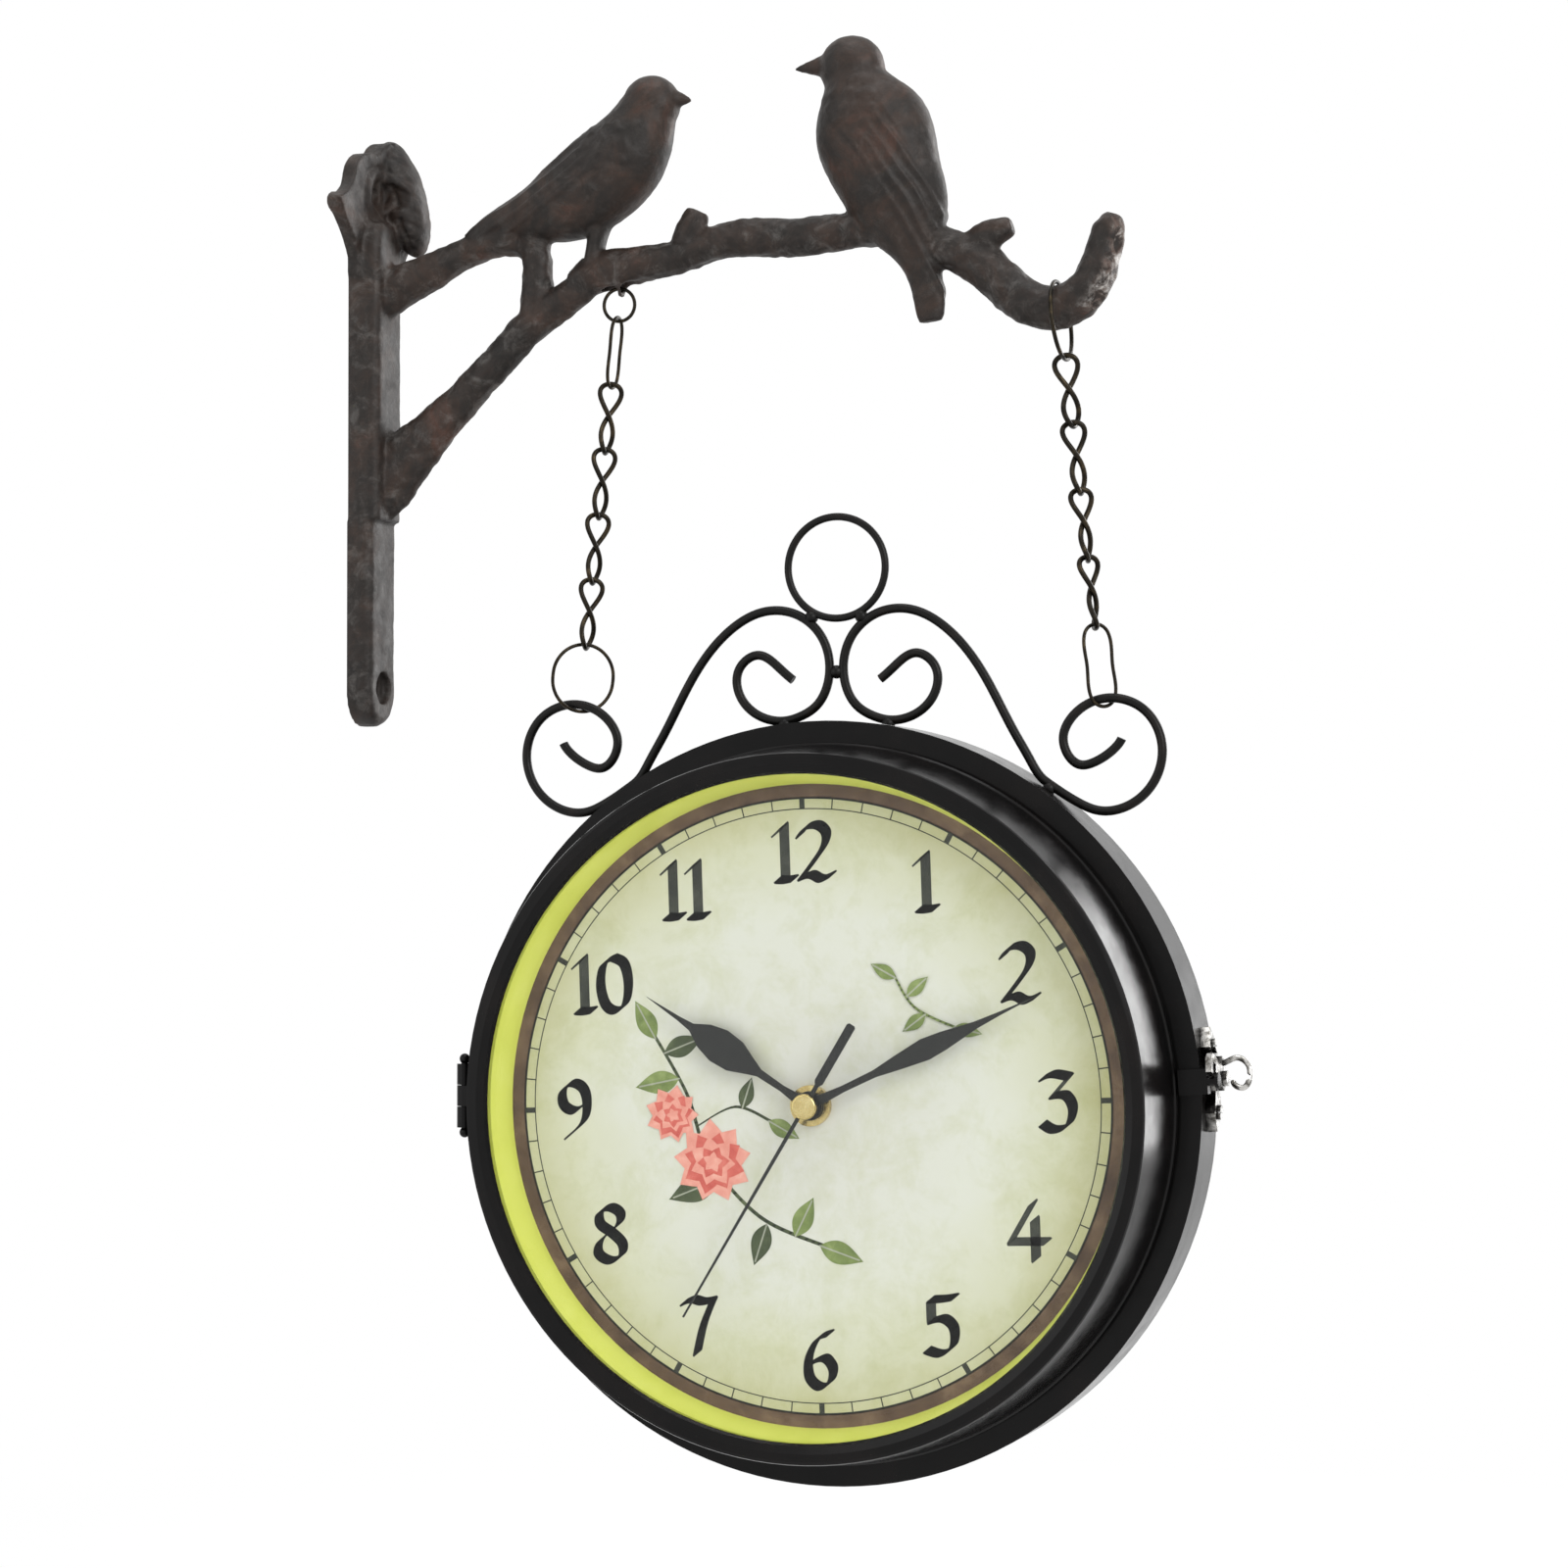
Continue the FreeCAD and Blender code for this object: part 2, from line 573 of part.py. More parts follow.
front_knuckle = Part.makeCylinder(knuckle_r, 2 * hinge_mid, vec(pin_x, hinge_y, -hinge_mid), AXIS_Z)
front_leaf = fused([
    front_knuckle,
    block(pin_x, -band_r + 2.0, flange_y - hinge_sheet, flange_y, -hinge_mid, hinge_mid),
    block(-band_r + 1.0, -wall_back_r - 1.0, flange_y - hinge_sheet, flange_y, -8.0, 8.0)])
front_leaf = front_leaf.cut(bore)
hinge_pin = fused([
    Part.makeCylinder(pin_r, 2 * hinge_half + 0.4, vec(pin_x, hinge_y, -hinge_half - 0.2), AXIS_Z),
    Part.makeSphere(1.5, vec(pin_x, hinge_y, hinge_half + 1.4)),
    Part.makeSphere(1.5, vec(pin_x, hinge_y, -hinge_half - 1.4))])
rivets_rear = [rod_x(1.4, leaf_x - 2.0, leaf_x - 1.3 - 0.02, 1.5, z) for z in (-5.5, 5.5)]
rivets_front = [rod_y(1.2, flange_y - hinge_sheet - 0.6, flange_y - hinge_sheet - 0.02, -band_r + 3.2, z)
                for z in (-5.2, 5.2)]

# Latch near three o'clock, made at three o'clock and turned up a little
plate_r = band_r + touch_gap
latch_y = -1.0
bow = [
    (-latch_wide / 2, latch_screw_step), (0, latch_screw_step + 5.2), (latch_wide / 2, latch_screw_step),
    (2.4, 3.0), (2.8, 0.0), (2.4, -3.0), (latch_wide / 2, -latch_screw_step),
    (0, -latch_screw_step - 5.2), (-latch_wide / 2, -latch_screw_step),
    (-2.4, -3.0), (-2.8, 0.0), (-2.4, 3.0)]
bow_ring = [vec(band_r - 5, latch_y + y, z) for y, z in bow]
bow_solid = Part.Face(Part.makePolygon(bow_ring + bow_ring[:1])).extrude(vec(12, 0, 0))
latch_plate = tube_y(plate_r + latch_sheet, plate_r, -9, 9).common(bow_solid)
plate_top = plate_r + latch_sheet
pivot_hole = rod_x(pin_r + run_gap, band_r - 8, band_r + 12, latch_y, 0)
latch_plate = latch_plate.cut(pivot_hole)
screws = []
for side in (1, -1):
    tilt = -side * math.degrees(math.asin(latch_screw_step / plate_top))
    head = rod_x(screw_r, plate_top + 0.03, plate_top + 0.03 + screw_high, latch_y, 0)
    head = head.cut(block(plate_top + 0.5, plate_top + 3, latch_y - 3, latch_y + 3, -0.25, 0.25))
    screws.append(spun(head, tilt))
hook_x0 = plate_top + 0.15
rivet = rod_x(pin_r, plate_top - latch_sheet + 0.3, hook_x0 + hook_thick + 0.2, latch_y, 0)
rivet_head = rod_x(2.1, hook_x0 + hook_thick + 0.1, hook_x0 + hook_thick + 1.3, latch_y, 0)
rivet = rivet.fuse(rivet_head).removeSplitter()
stud_y = seam_y - sheet - 2.2
stud_reach = latch_y - stud_y
hook_outline = [
    (2.6, 2.4), (2.9, -1.6), (1.2, -3.0), (-1.0, -2.4), (-stud_reach + 2.6, -1.1),
    (-stud_reach + 1.6, -0.6), (-stud_reach + 1.6, 1.4), (-stud_reach - 1.6, 1.4),
    (-stud_reach - 1.6, -2.0), (-stud_reach - 3.6, -2.0), (-stud_reach - 3.9, 2.0),
    (-stud_reach - 2.0, 3.6), (-stud_reach + 2.0, 3.4), (-1.9, 3.2), (-1.9, 5.8), (1.9, 5.8)]
hook_ring = [vec(hook_x0, latch_y + y, z) for y, z in hook_outline]
latch_hook = Part.Face(Part.makePolygon(hook_ring + hook_ring[:1])).extrude(vec(hook_thick, 0, 0))
finger_scroll = [
    (0.5, 4.2), (2.6, 4.7), (5.2, 5.6), (8.0, 4.0), (8.8, 0.4), (7.0, -2.8), (4.6, -1.8), (5.0, 0.6)]
finger_points = [(hook_x0 + x, latch_y, z) for x, z in finger_scroll]
finger = bent_wire(finger_points, scroll_r, False)
latch_hook = latch_hook.fuse(finger).cut(pivot_hole).removeSplitter()
latch_hook = max(latch_hook.Solids, key=lambda s: s.Volume)
latch_hook = spun(latch_hook, hook_lift, vec(0, latch_y, 0), vec(-1, 0, 0))
catch_y1 = seam_y - sheet - touch_gap
catch = fused([
    block(band_r - 5.4, hook_x0 - 0.3, catch_y1 - 3.4, catch_y1, -3.4, 3.4),
    rod_x(stud_r, hook_x0 - 0.4, hook_x0 + hook_thick + 0.3, stud_y, 0),
    rod_x(stud_head_r, hook_x0 + hook_thick + 0.2, hook_x0 + hook_thick + 1.2, stud_y, 0)])
catch = catch.cut(turned([(wall_back_r - 20, seam_y - 20), (wall_back_r + bead_high + 0.2, seam_y - 20),
                          (wall_back_r + bead_high + 0.2, seam_y + 5), (wall_back_r - 20, seam_y + 5)]))


def on_clock(shape):
    return moved(shape, clock_x, 0, clock_z)


shapes["crown_left_scroll"] = on_clock(left_scroll)
shapes["crown_right_scroll"] = on_clock(right_scroll)
shapes["crown_ring"] = on_clock(crown_ring)
shapes["crown_welds"] = on_clock(Part.makeCompound(beads))
shapes["case_band"] = on_clock(band)
for name, shape in front.items():
    shapes["front_" + name] = on_clock(shape)
for name, shape in rear.items():
    shapes["rear_" + name] = on_clock(shape)
shapes["hinge_leaf_rear"] = on_clock(rear_leaf)
shapes["hinge_leaf_front"] = on_clock(front_leaf)
shapes["hinge_pin"] = on_clock(hinge_pin)
shapes["hinge_rivets_rear"] = on_clock(Part.makeCompound(rivets_rear))
shapes["hinge_rivets_front"] = on_clock(Part.makeCompound(rivets_front))
shapes["latch_plate"] = on_clock(spun(latch_plate, -latch_angle))
shapes["latch_screws"] = on_clock(spun(Part.makeCompound(screws), -latch_angle))
shapes["latch_rivet"] = on_clock(spun(rivet, -latch_angle))
shapes["latch_hook"] = on_clock(spun(latch_hook, -latch_angle))
shapes["latch_catch"] = on_clock(spun(catch, -latch_angle))

# Chains: each is laid out down its own line, then tilted to meet the crown's eye
eye_x, eye_none, eye_z = over_band(eye_angle, eye_up)
pitch_step = 2 * wire_r + wire_gap


def hang(shape, x, z, side):
    run_x = clock_x + side * eye_x - x
    run_z = clock_z + eye_z - z
    lean = math.degrees(math.atan2(run_x, -run_z))
    return moved(spun(shape, -lean), x, 0, z)


def chain_length(x, z, side):
    return math.hypot(clock_x + side * eye_x - x, clock_z + eye_z - z)


def jack_run(top, first, twist):
    links = []
    for i in range(jack_count):
        links.append(jack_link(top + i * (jack_long - pitch_step), first + i * twist))
    return links, top + jack_count * (jack_long - pitch_step) + pitch_step


left_full = chain_length(lug_x, lug_z, -1)
top_ring = moved(Part.makeTorus(top_ring_r, wire_r, ZERO, AXIS_Y), 0, 0, -top_ring_r)
oval_top = 2 * top_ring_r - pitch_step
oval_link = link_loop(oval_top, oval_long, oval_wide, wire_r, 90.0)
jacks, jack_end = jack_run(oval_top + oval_long - pitch_step, left_turn, left_twist)
bottom_top = jack_end - pitch_step
bottom_long = left_full + rod_r + wire_r + wire_gap - bottom_top
bottom_ring = link_loop(bottom_top, bottom_long, bottom_wide, wire_r, left_ring_turn)
shapes["left_top_ring"] = hang(top_ring, lug_x, lug_z, -1)
shapes["left_oval_link"] = hang(oval_link, lug_x, lug_z, -1)
shapes["left_jack_links"] = hang(Part.makeCompound(jacks), lug_x, lug_z, -1)
shapes["left_bottom_ring"] = hang(bottom_ring, lug_x, lug_z, -1)

right_full = chain_length(hook_x, hook_z, 1)
hook_top = -hook_half - hook_wire_r - 0.3
hook_ring_shape = Part.makeTorus(hook_ring_r, hook_wire_r, vec(0, 0, -hook_top - hook_ring_r), AXIS_X)
jacks, jack_end = jack_run(hook_top + 2 * hook_ring_r - pitch_step, right_turn, right_twist)
bottom_top = jack_end - pitch_step
bottom_long = right_full + rod_r + wire_r + right_slack - bottom_top
bottom_turn = right_turn + jack_count * right_twist
bottom_link = link_loop(bottom_top, bottom_long, bottom_link_wide, wire_r, bottom_turn)
shapes["right_hook_ring"] = hang(hook_ring_shape, hook_x, hook_z, 1)
shapes["right_jack_links"] = hang(Part.makeCompound(jacks), hook_x, hook_z, 1)
shapes["right_bottom_link"] = hang(bottom_link, hook_x, hook_z, 1)

for name, shape in shapes.items():
    shape.exportStep("parts/" + name + ".step")
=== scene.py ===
import math
import random

import bmesh
import bpy
from mathutils import Matrix, Vector, noise
from mathutils.bvhtree import BVHTree
from mathutils.geometry import convex_hull_2d


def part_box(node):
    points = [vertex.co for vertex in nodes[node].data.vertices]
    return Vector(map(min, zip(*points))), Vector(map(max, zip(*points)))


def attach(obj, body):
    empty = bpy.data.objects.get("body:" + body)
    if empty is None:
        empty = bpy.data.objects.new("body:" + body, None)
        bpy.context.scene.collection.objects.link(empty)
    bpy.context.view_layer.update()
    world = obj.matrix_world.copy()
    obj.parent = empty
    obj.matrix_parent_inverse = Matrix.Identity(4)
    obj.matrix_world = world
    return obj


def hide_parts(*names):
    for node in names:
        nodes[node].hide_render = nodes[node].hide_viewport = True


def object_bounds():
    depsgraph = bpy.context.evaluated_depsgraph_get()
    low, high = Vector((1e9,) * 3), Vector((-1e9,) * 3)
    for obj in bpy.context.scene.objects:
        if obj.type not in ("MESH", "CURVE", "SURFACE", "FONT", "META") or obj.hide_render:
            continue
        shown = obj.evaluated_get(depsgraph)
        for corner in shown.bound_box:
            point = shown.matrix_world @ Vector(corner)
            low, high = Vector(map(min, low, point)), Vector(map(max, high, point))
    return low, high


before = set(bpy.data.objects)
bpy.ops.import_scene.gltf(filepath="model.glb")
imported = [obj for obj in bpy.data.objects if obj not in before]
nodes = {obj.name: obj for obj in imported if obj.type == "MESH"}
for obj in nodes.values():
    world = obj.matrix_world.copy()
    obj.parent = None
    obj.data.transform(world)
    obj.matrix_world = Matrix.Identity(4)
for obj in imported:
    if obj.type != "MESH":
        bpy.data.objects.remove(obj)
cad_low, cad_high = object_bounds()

MM = 0.001
scene = bpy.context.scene
random.seed(11)


# Sizes read from the frame, in millimetres
def node_box(name):
    low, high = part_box(name)
    return low / MM, high / MM


band_low, band_high = node_box("case_band")
clock_x = (band_low.x + band_high.x) / 2
clock_z = (band_low.z + band_high.z) / 2
dial_face = node_box("front_dial")[0].y


# Node material helpers
def new_material(name):
    mat = bpy.data.materials.new(name)
    mat.use_nodes = True
    tree = mat.node_tree
    shader = tree.nodes["Principled BSDF"]
    return mat, tree, shader


def wire(tree, a, b):
    tree.links.new(a, b)


def place(tree):
    return tree.nodes.new("ShaderNodeTexCoord").outputs["Object"]


def noise_tex(tree, scale, detail, rough, distort, where):
    tex = tree.nodes.new("ShaderNodeTexNoise")
    tex.inputs["Scale"].default_value = scale
    tex.inputs["Detail"].default_value = detail
    tex.inputs["Roughness"].default_value = rough
    tex.inputs["Distortion"].default_value = distort
    wire(tree, where, tex.inputs["Vector"])
    return tex.outputs["Fac"]


def ramp(tree, fac, stops):
    node = tree.nodes.new("ShaderNodeValToRGB")
    ends = node.color_ramp.elements
    while len(ends) < len(stops):
        ends.new(0.5)
    for end, (pos, colour) in zip(ends, stops):
        end.position = pos
        end.color = (*colour, 1.0)
    wire(tree, fac, node.inputs["Fac"])
    return node.outputs["Color"]


def spread(tree, fac, low, high, from_low=0.3, from_high=0.7):
    node = tree.nodes.new("ShaderNodeMapRange")
    node.inputs["From Min"].default_value = from_low
    node.inputs["From Max"].default_value = from_high
    node.inputs["To Min"].default_value = low
    node.inputs["To Max"].default_value = high
    wire(tree, fac, node.inputs["Value"])
    return node.outputs["Result"]


def blend_colour(tree, fac, a, b):
    node = tree.nodes.new("ShaderNodeMix")
    node.data_type = "RGBA"
    wire(tree, fac, node.inputs[0])
    wire(tree, a, node.inputs[6])
    wire(tree, b, node.inputs[7])
    return node.outputs[2]


def multiply_colour(tree, a, b):
    node = tree.nodes.new("ShaderNodeMix")
    node.data_type = "RGBA"
    node.blend_type = "MULTIPLY"
    node.inputs[0].default_value = 1.0
    wire(tree, a, node.inputs[6])
    wire(tree, b, node.inputs[7])
    return node.outputs[2]


def bump(tree, height, strength, distance, under=None):
    node = tree.nodes.new("ShaderNodeBump")
    node.inputs["Strength"].default_value = strength
    node.inputs["Distance"].default_value = distance
    wire(tree, height, node.inputs["Height"])
    if under is not None:
        wire(tree, under, node.inputs["Normal"])
    return node.outputs["Normal"]


def srgb(r, g, b):
    def one(c):
        c = c / 255.0
        return c / 12.92 if c <= 0.04045 else ((c + 0.055) / 1.055) ** 2.4
    return (one(r), one(g), one(b))


# A plain finish: three tones, a range of roughness and a fine grain
def varied(name, tones, rough, scale, metal=0.0, grain=900.0, depth=0.05, spec=0.5):
    mat, tree, shader = new_material(name)
    where = place(tree)
    tint = noise_tex(tree, scale, 5.0, 0.6, 0.3, where)
    stops = [(at, srgb(*tone)) for at, tone in zip((0.30, 0.52, 0.74), tones)]
    wire(tree, ramp(tree, tint, stops), shader.inputs["Base Color"])
    gloss = noise_tex(tree, scale * 3.1, 4.0, 0.6, 0.0, where)
    wire(tree, spread(tree, gloss, *rough), shader.inputs["Roughness"])
    fine = noise_tex(tree, grain, 3.0, 0.5, 0.0, where)
    wire(tree, bump(tree, fine, depth, 0.0004), shader.inputs["Normal"])
    shader.inputs["Metallic"].default_value = metal
    shader.inputs["Specular IOR Level"].default_value = spec
    return mat


# Cast iron with rub colour on the ridges, partly real red-brown rub and partly a painted
# light-grey highlight, and a painted highlight on the outer side of the hook
def cast_material():
    mat, tree, shader = new_material("cast_iron")
    where = place(tree)
    broad = noise_tex(tree, 55.0, 6.0, 0.65, 0.6, where)
    body = ramp(tree, broad, [
        (0.30, srgb(21, 19, 17)), (0.48, srgb(33, 28, 25)),
        (0.60, srgb(47, 36, 30)), (0.76, srgb(71, 47, 38))])
    # Rub colour from red-brown to light grey: real rub, and also the colour of the painted
    # highlights
    rub_and_sheen = ramp(tree, noise_tex(tree, 120.0, 6.0, 0.7, 1.0, where), [
        (0.36, srgb(66, 42, 34)), (0.49, srgb(92, 82, 76)), (0.62, srgb(172, 168, 164))])
    # Raised edges found by pointiness take the rub colour: partly real rub, partly a painted
    # highlight along the ridges
    geometry = tree.nodes.new("ShaderNodeNewGeometry")
    ridge_rub_and_sheen = ramp(tree, geometry.outputs["Pointiness"], [
        (0.545, (0.0, 0.0, 0.0)), (0.67, (0.5, 0.5, 0.5))])
    # This attribute holds the real rub amount and the painted highlight on the hook's outer side
    wear_and_sheen = tree.nodes.new("ShaderNodeAttribute")
    wear_and_sheen.attribute_name = "wear_and_sheen"
    patch = ramp(tree, noise_tex(tree, 210.0, 5.0, 0.7, 0.8, where), [
        (0.42, (0.0, 0.0, 0.0)), (0.62, (1.0, 1.0, 1.0))])
    rub_and_sheen_mask = tree.nodes.new("ShaderNodeMath")
    rub_and_sheen_mask.operation = "MULTIPLY_ADD"
    wire(tree, wear_and_sheen.outputs["Fac"], rub_and_sheen_mask.inputs[0])
    wire(tree, patch, rub_and_sheen_mask.inputs[1])
    wire(tree, ridge_rub_and_sheen, rub_and_sheen_mask.inputs[2])
    wire(tree, blend_colour(tree, rub_and_sheen_mask.outputs["Value"], body, rub_and_sheen), shader.inputs["Base Color"])
    gloss = noise_tex(tree, 160.0, 5.0, 0.65, 0.2, where)
    wire(tree, spread(tree, gloss, 0.42, 0.64), shader.inputs["Roughness"])
    sand = bump(tree, noise_tex(tree, 1500.0, 3.0, 0.6, 0.0, where), 0.16, 0.0004)
    pits = bump(tree, noise_tex(tree, 320.0, 4.0, 0.6, 0.4, where), 0.30, 0.0008, sand)
    wire(tree, pits, shader.inputs["Normal"])
    shader.inputs["Metallic"].default_value = 0.1
    shader.inputs["Specular IOR Level"].default_value = 0.28
    return mat


# Printed dial paper: pale sage centre, straw-coloured towards the edge, faint age mottling
def dial_material():
    mottle = 0.030
    pale_to, straw_from = 0.030, 0.104
    mat, tree, shader = new_material("dial_paper")
    where = place(tree)
    shift = tree.nodes.new("ShaderNodeMapping")
    shift.inputs["Location"].default_value = (-clock_x * MM, 0.0, -clock_z * MM)
    wire(tree, where, shift.inputs["Vector"])
    flat = tree.nodes.new("ShaderNodeVectorMath")
    flat.operation = "MULTIPLY"
    flat.inputs[1].default_value = (1.0, 0.0, 1.0)
    wire(tree, shift.outputs["Vector"], flat.inputs[0])
    far = tree.nodes.new("ShaderNodeVectorMath")
    far.operation = "LENGTH"
    wire(tree, flat.outputs["Vector"], far.inputs[0])
    cloud = noise_tex(tree, 38.0, 5.0, 0.62, 0.4, where)
    drift = tree.nodes.new("ShaderNodeMath")
    drift.operation = "MULTIPLY_ADD"
    drift.inputs[1].default_value = mottle
    wire(tree, cloud, drift.inputs[0])
    wire(tree, far.outputs["Value"], drift.inputs[2])
    around = spread(tree, drift.outputs["Value"], 0.0, 1.0, pale_to, straw_from)
    paper = ramp(tree, around, [
        (0.0, srgb(217, 215, 208)), (0.45, srgb(221, 220, 211)),
        (0.75, srgb(214, 213, 190)), (1.0, srgb(199, 195, 153))])
    stain = ramp(tree, noise_tex(tree, 70.0, 7.0, 0.75, 0.3, where), [
        (0.46, (1.0, 1.0, 1.0)), (0.74, srgb(238, 239, 220))])
    wire(tree, multiply_colour(tree, paper, stain), shader.inputs["Base Color"])
    fibre = noise_tex(tree, 1400.0, 3.0, 0.6, 0.0, where)
    wire(tree, spread(tree, fibre, 0.55, 0.72), shader.inputs["Roughness"])
    wire(tree, bump(tree, fibre, 0.04, 0.0003), shader.inputs["Normal"])
    shader.inputs["Specular IOR Level"].default_value = 0.25
    return mat


# Clear glass: it lets light straight through, and mirrors more at a slant
def lens_material():
    mat, tree, shader = new_material("clear_glass")
    where = place(tree)
    clear = tree.nodes.new("ShaderNodeBsdfTransparent")
    clear.inputs["Color"].default_value = (0.975, 0.985, 0.975, 1.0)
    mirror = tree.nodes.new("ShaderNodeBsdfGlossy")
    haze = noise_tex(tree, 60.0, 4.0, 0.6, 0.2, where)
    wire(tree, spread(tree, haze, 0.04, 0.10), mirror.inputs["Roughness"])
    ripple = noise_tex(tree, 25.0, 2.0, 0.5, 0.0, where)
    waves = bump(tree, ripple, 0.02, 0.0006)
    wire(tree, waves, mirror.inputs["Normal"])
    # The mirror's share is the same from both sides of a face, so no ray is shut in the pane
    slant = tree.nodes.new("ShaderNodeLayerWeight")
    slant.inputs["Blend"].default_value = 0.5
    wire(tree, waves, slant.inputs["Normal"])
    steep = tree.nodes.new("ShaderNodeMath")
    steep.operation = "POWER"
    wire(tree, slant.outputs["Facing"], steep.inputs[0])
    steep.inputs[1].default_value = 5.0
    both = tree.nodes.new("ShaderNodeMixShader")
    wire(tree, spread(tree, steep.outputs["Value"], 0.02, 1.0, 0.0, 1.0), both.inputs[0])
    wire(tree, clear.outputs["BSDF"], both.inputs[1])
    wire(tree, mirror.outputs["BSDF"], both.inputs[2])
    wire(tree, both.outputs["Shader"], tree.nodes["Material Output"].inputs["Surface"])
    tree.nodes.remove(shader)
    return mat


# Bright plated latch with painted shade in its crevices
def latch_material():
    mat, tree, shader = new_material("bright_nickel")
    where = place(tree)
    crevice_occlusion = tree.nodes.new("ShaderNodeAmbientOcclusion")
    crevice_occlusion.samples = 8
    crevice_occlusion.inputs["Distance"].default_value = 0.005
    # Ambient occlusion paints shade into the base colour: near black in the crevices, bright on
    # open faces
    painted_shade_tone = ramp(tree, crevice_occlusion.outputs["AO"], [
        (0.30, srgb(14, 14, 14)), (0.62, srgb(92, 91, 89)), (0.92, srgb(196, 194, 190))])
    smear = ramp(tree, noise_tex(tree, 420.0, 5.0, 0.65, 0.4, where), [
        (0.38, srgb(120, 118, 114)), (0.58, (1.0, 1.0, 1.0))])
    wire(tree, multiply_colour(tree, painted_shade_tone, smear), shader.inputs["Base Color"])
    gloss = noise_tex(tree, 300.0, 4.0, 0.6, 0.0, where)
    wire(tree, spread(tree, gloss, 0.12, 0.30), shader.inputs["Roughness"])
    dents = noise_tex(tree, 500.0, 3.0, 0.5, 0.0, where)
    wire(tree, bump(tree, dents, 0.20, 0.0004), shader.inputs["Normal"])
    shader.inputs["Metallic"].default_value = 1.0
    return mat


cast_iron = cast_material()
dial_paper = dial_material()
clear_glass = lens_material()
bronze = varied(
    "chain_bronze", [(20, 18, 14), (36, 31, 23), (70, 60, 43)], (0.28, 0.46), 240.0,
    metal=0.8, depth=0.10, spec=0.4)
rod_black = varied(
    "rod_black", [(9, 9, 8), (14, 13, 12), (27, 22, 19)], (0.28, 0.44), 130.0,
    grain=700.0, depth=0.10, spec=0.16)
case_black = varied(
    "case_black", [(7, 7, 7), (11, 10, 10), (19, 16, 15)], (0.15, 0.25), 45.0,
    grain=420.0, depth=0.008, spec=0.15)
lime = varied(
    "lime_liner", [(218, 224, 90), (226, 231, 104), (233, 237, 122)], (0.34, 0.46), 40.0,
    grain=800.0, depth=0.04)
steel = varied(
    "plain_steel", [(140, 140, 140), (168, 168, 166), (190, 190, 188)], (0.24, 0.42), 160.0,
    metal=1.0, grain=1200.0)
nickel = latch_material()
brass = varied(
    "brass", [(186, 160, 100), (212, 190, 132), (230, 212, 162)], (0.18, 0.32), 220.0,
    metal=1.0, grain=1300.0)
hand_black = varied(
    "hand_black", [(14, 14, 14), (20, 20, 20), (30, 30, 29)], (0.36, 0.52), 150.0, spec=0.35)
black_plastic = varied(
    "black_plastic", [(22, 22, 23), (30, 30, 31), (39, 39, 40)], (0.42, 0.58), 120.0,
    grain=1500.0, depth=0.10)
white_plastic = varied(
    "white_plastic", [(206, 204, 196), (220, 218, 211), (230, 228, 222)], (0.36, 0.50), 90.0,
    grain=1400.0)
cell_wrap = varied(
    "cell_wrap", [(34, 38, 46), (44, 50, 60), (58, 64, 74)], (0.25, 0.38), 80.0,
    metal=0.2, grain=1000.0, depth=0.04)


# Flat inks on the dial: the same finish in several colours
def print_ink(name, tones, scale):
    return varied(name, tones, (0.50, 0.66), scale, grain=1400.0, depth=0.03, spec=0.25)


# In the order of the ink numbers INK to GREY below
print_mats = [
    print_ink("print_ink", [(38, 40, 36), (50, 52, 46), (66, 68, 60)], 160.0),
    print_ink("print_brown", [(76, 55, 44), (104, 80, 65), (136, 110, 90)], 85.0),
    print_ink("print_coral_light", [(226, 142, 128), (236, 160, 146), (242, 184, 170)], 220.0),
    print_ink("print_coral_deep", [(200, 84, 76), (214, 102, 92), (226, 126, 114)], 240.0),
    print_ink("print_leaf", [(96, 112, 62), (122, 138, 78), (150, 164, 104)], 200.0),
    print_ink("print_leaf_dark", [(58, 68, 46), (74, 84, 56), (96, 106, 72)], 200.0),
    print_ink("print_grey", [(150, 152, 138), (164, 166, 150), (178, 180, 162)], 200.0),
]


# Finish of every carried-over piece
def finish_nodes(names, mat):
    for name in names:
        obj = nodes[name]
        obj.data.materials.clear()
        obj.data.materials.append(mat)


def both_sides(*names):
    return [side + name for side in ("front_", "rear_") for name in names]


finish_nodes(["left_top_ring", "left_oval_link", "left_jack_links", "left_bottom_ring",
              "right_hook_ring", "right_jack_links", "right_bottom_link"], bronze)
finish_nodes(["crown_left_scroll", "crown_right_scroll", "crown_ring", "crown_welds"], rod_black)
finish_nodes(["case_band"] + both_sides("pan"), case_black)
finish_nodes(both_sides("lens"), clear_glass)
finish_nodes(both_sides("liner"), lime)
finish_nodes(both_sides("dial"), dial_paper)
finish_nodes(both_sides("retainer", "second_arbor"), steel)
finish_nodes(["hinge_leaf_rear", "hinge_leaf_front", "hinge_pin", "hinge_rivets_rear",
              "hinge_rivets_front", "latch_catch"], case_black)
finish_nodes(both_sides("movement_case", "movement_cover"), black_plastic)
finish_nodes(both_sides("hour_wheel", "minute_wheel", "motion_wheel"), white_plastic)
finish_nodes(both_sides("cell"), cell_wrap)
finish_nodes(both_sides("nut", "second_cap"), brass)
finish_nodes(both_sides("hour_hand", "minute_hand", "second_hand"), hand_black)
finish_nodes(["latch_plate", "latch_screws", "latch_rivet", "latch_hook"], nickel)


# A new mesh piece that rides a body
def piece(name, body, mats, bm):
    mesh = bpy.data.meshes.new(name)
    bm.to_mesh(mesh)
    bm.free()
    for mat in mats:
        mesh.materials.append(mat)
    obj = bpy.data.objects.new(name, mesh)
    scene.collection.objects.link(obj)
    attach(obj, body)
    return obj


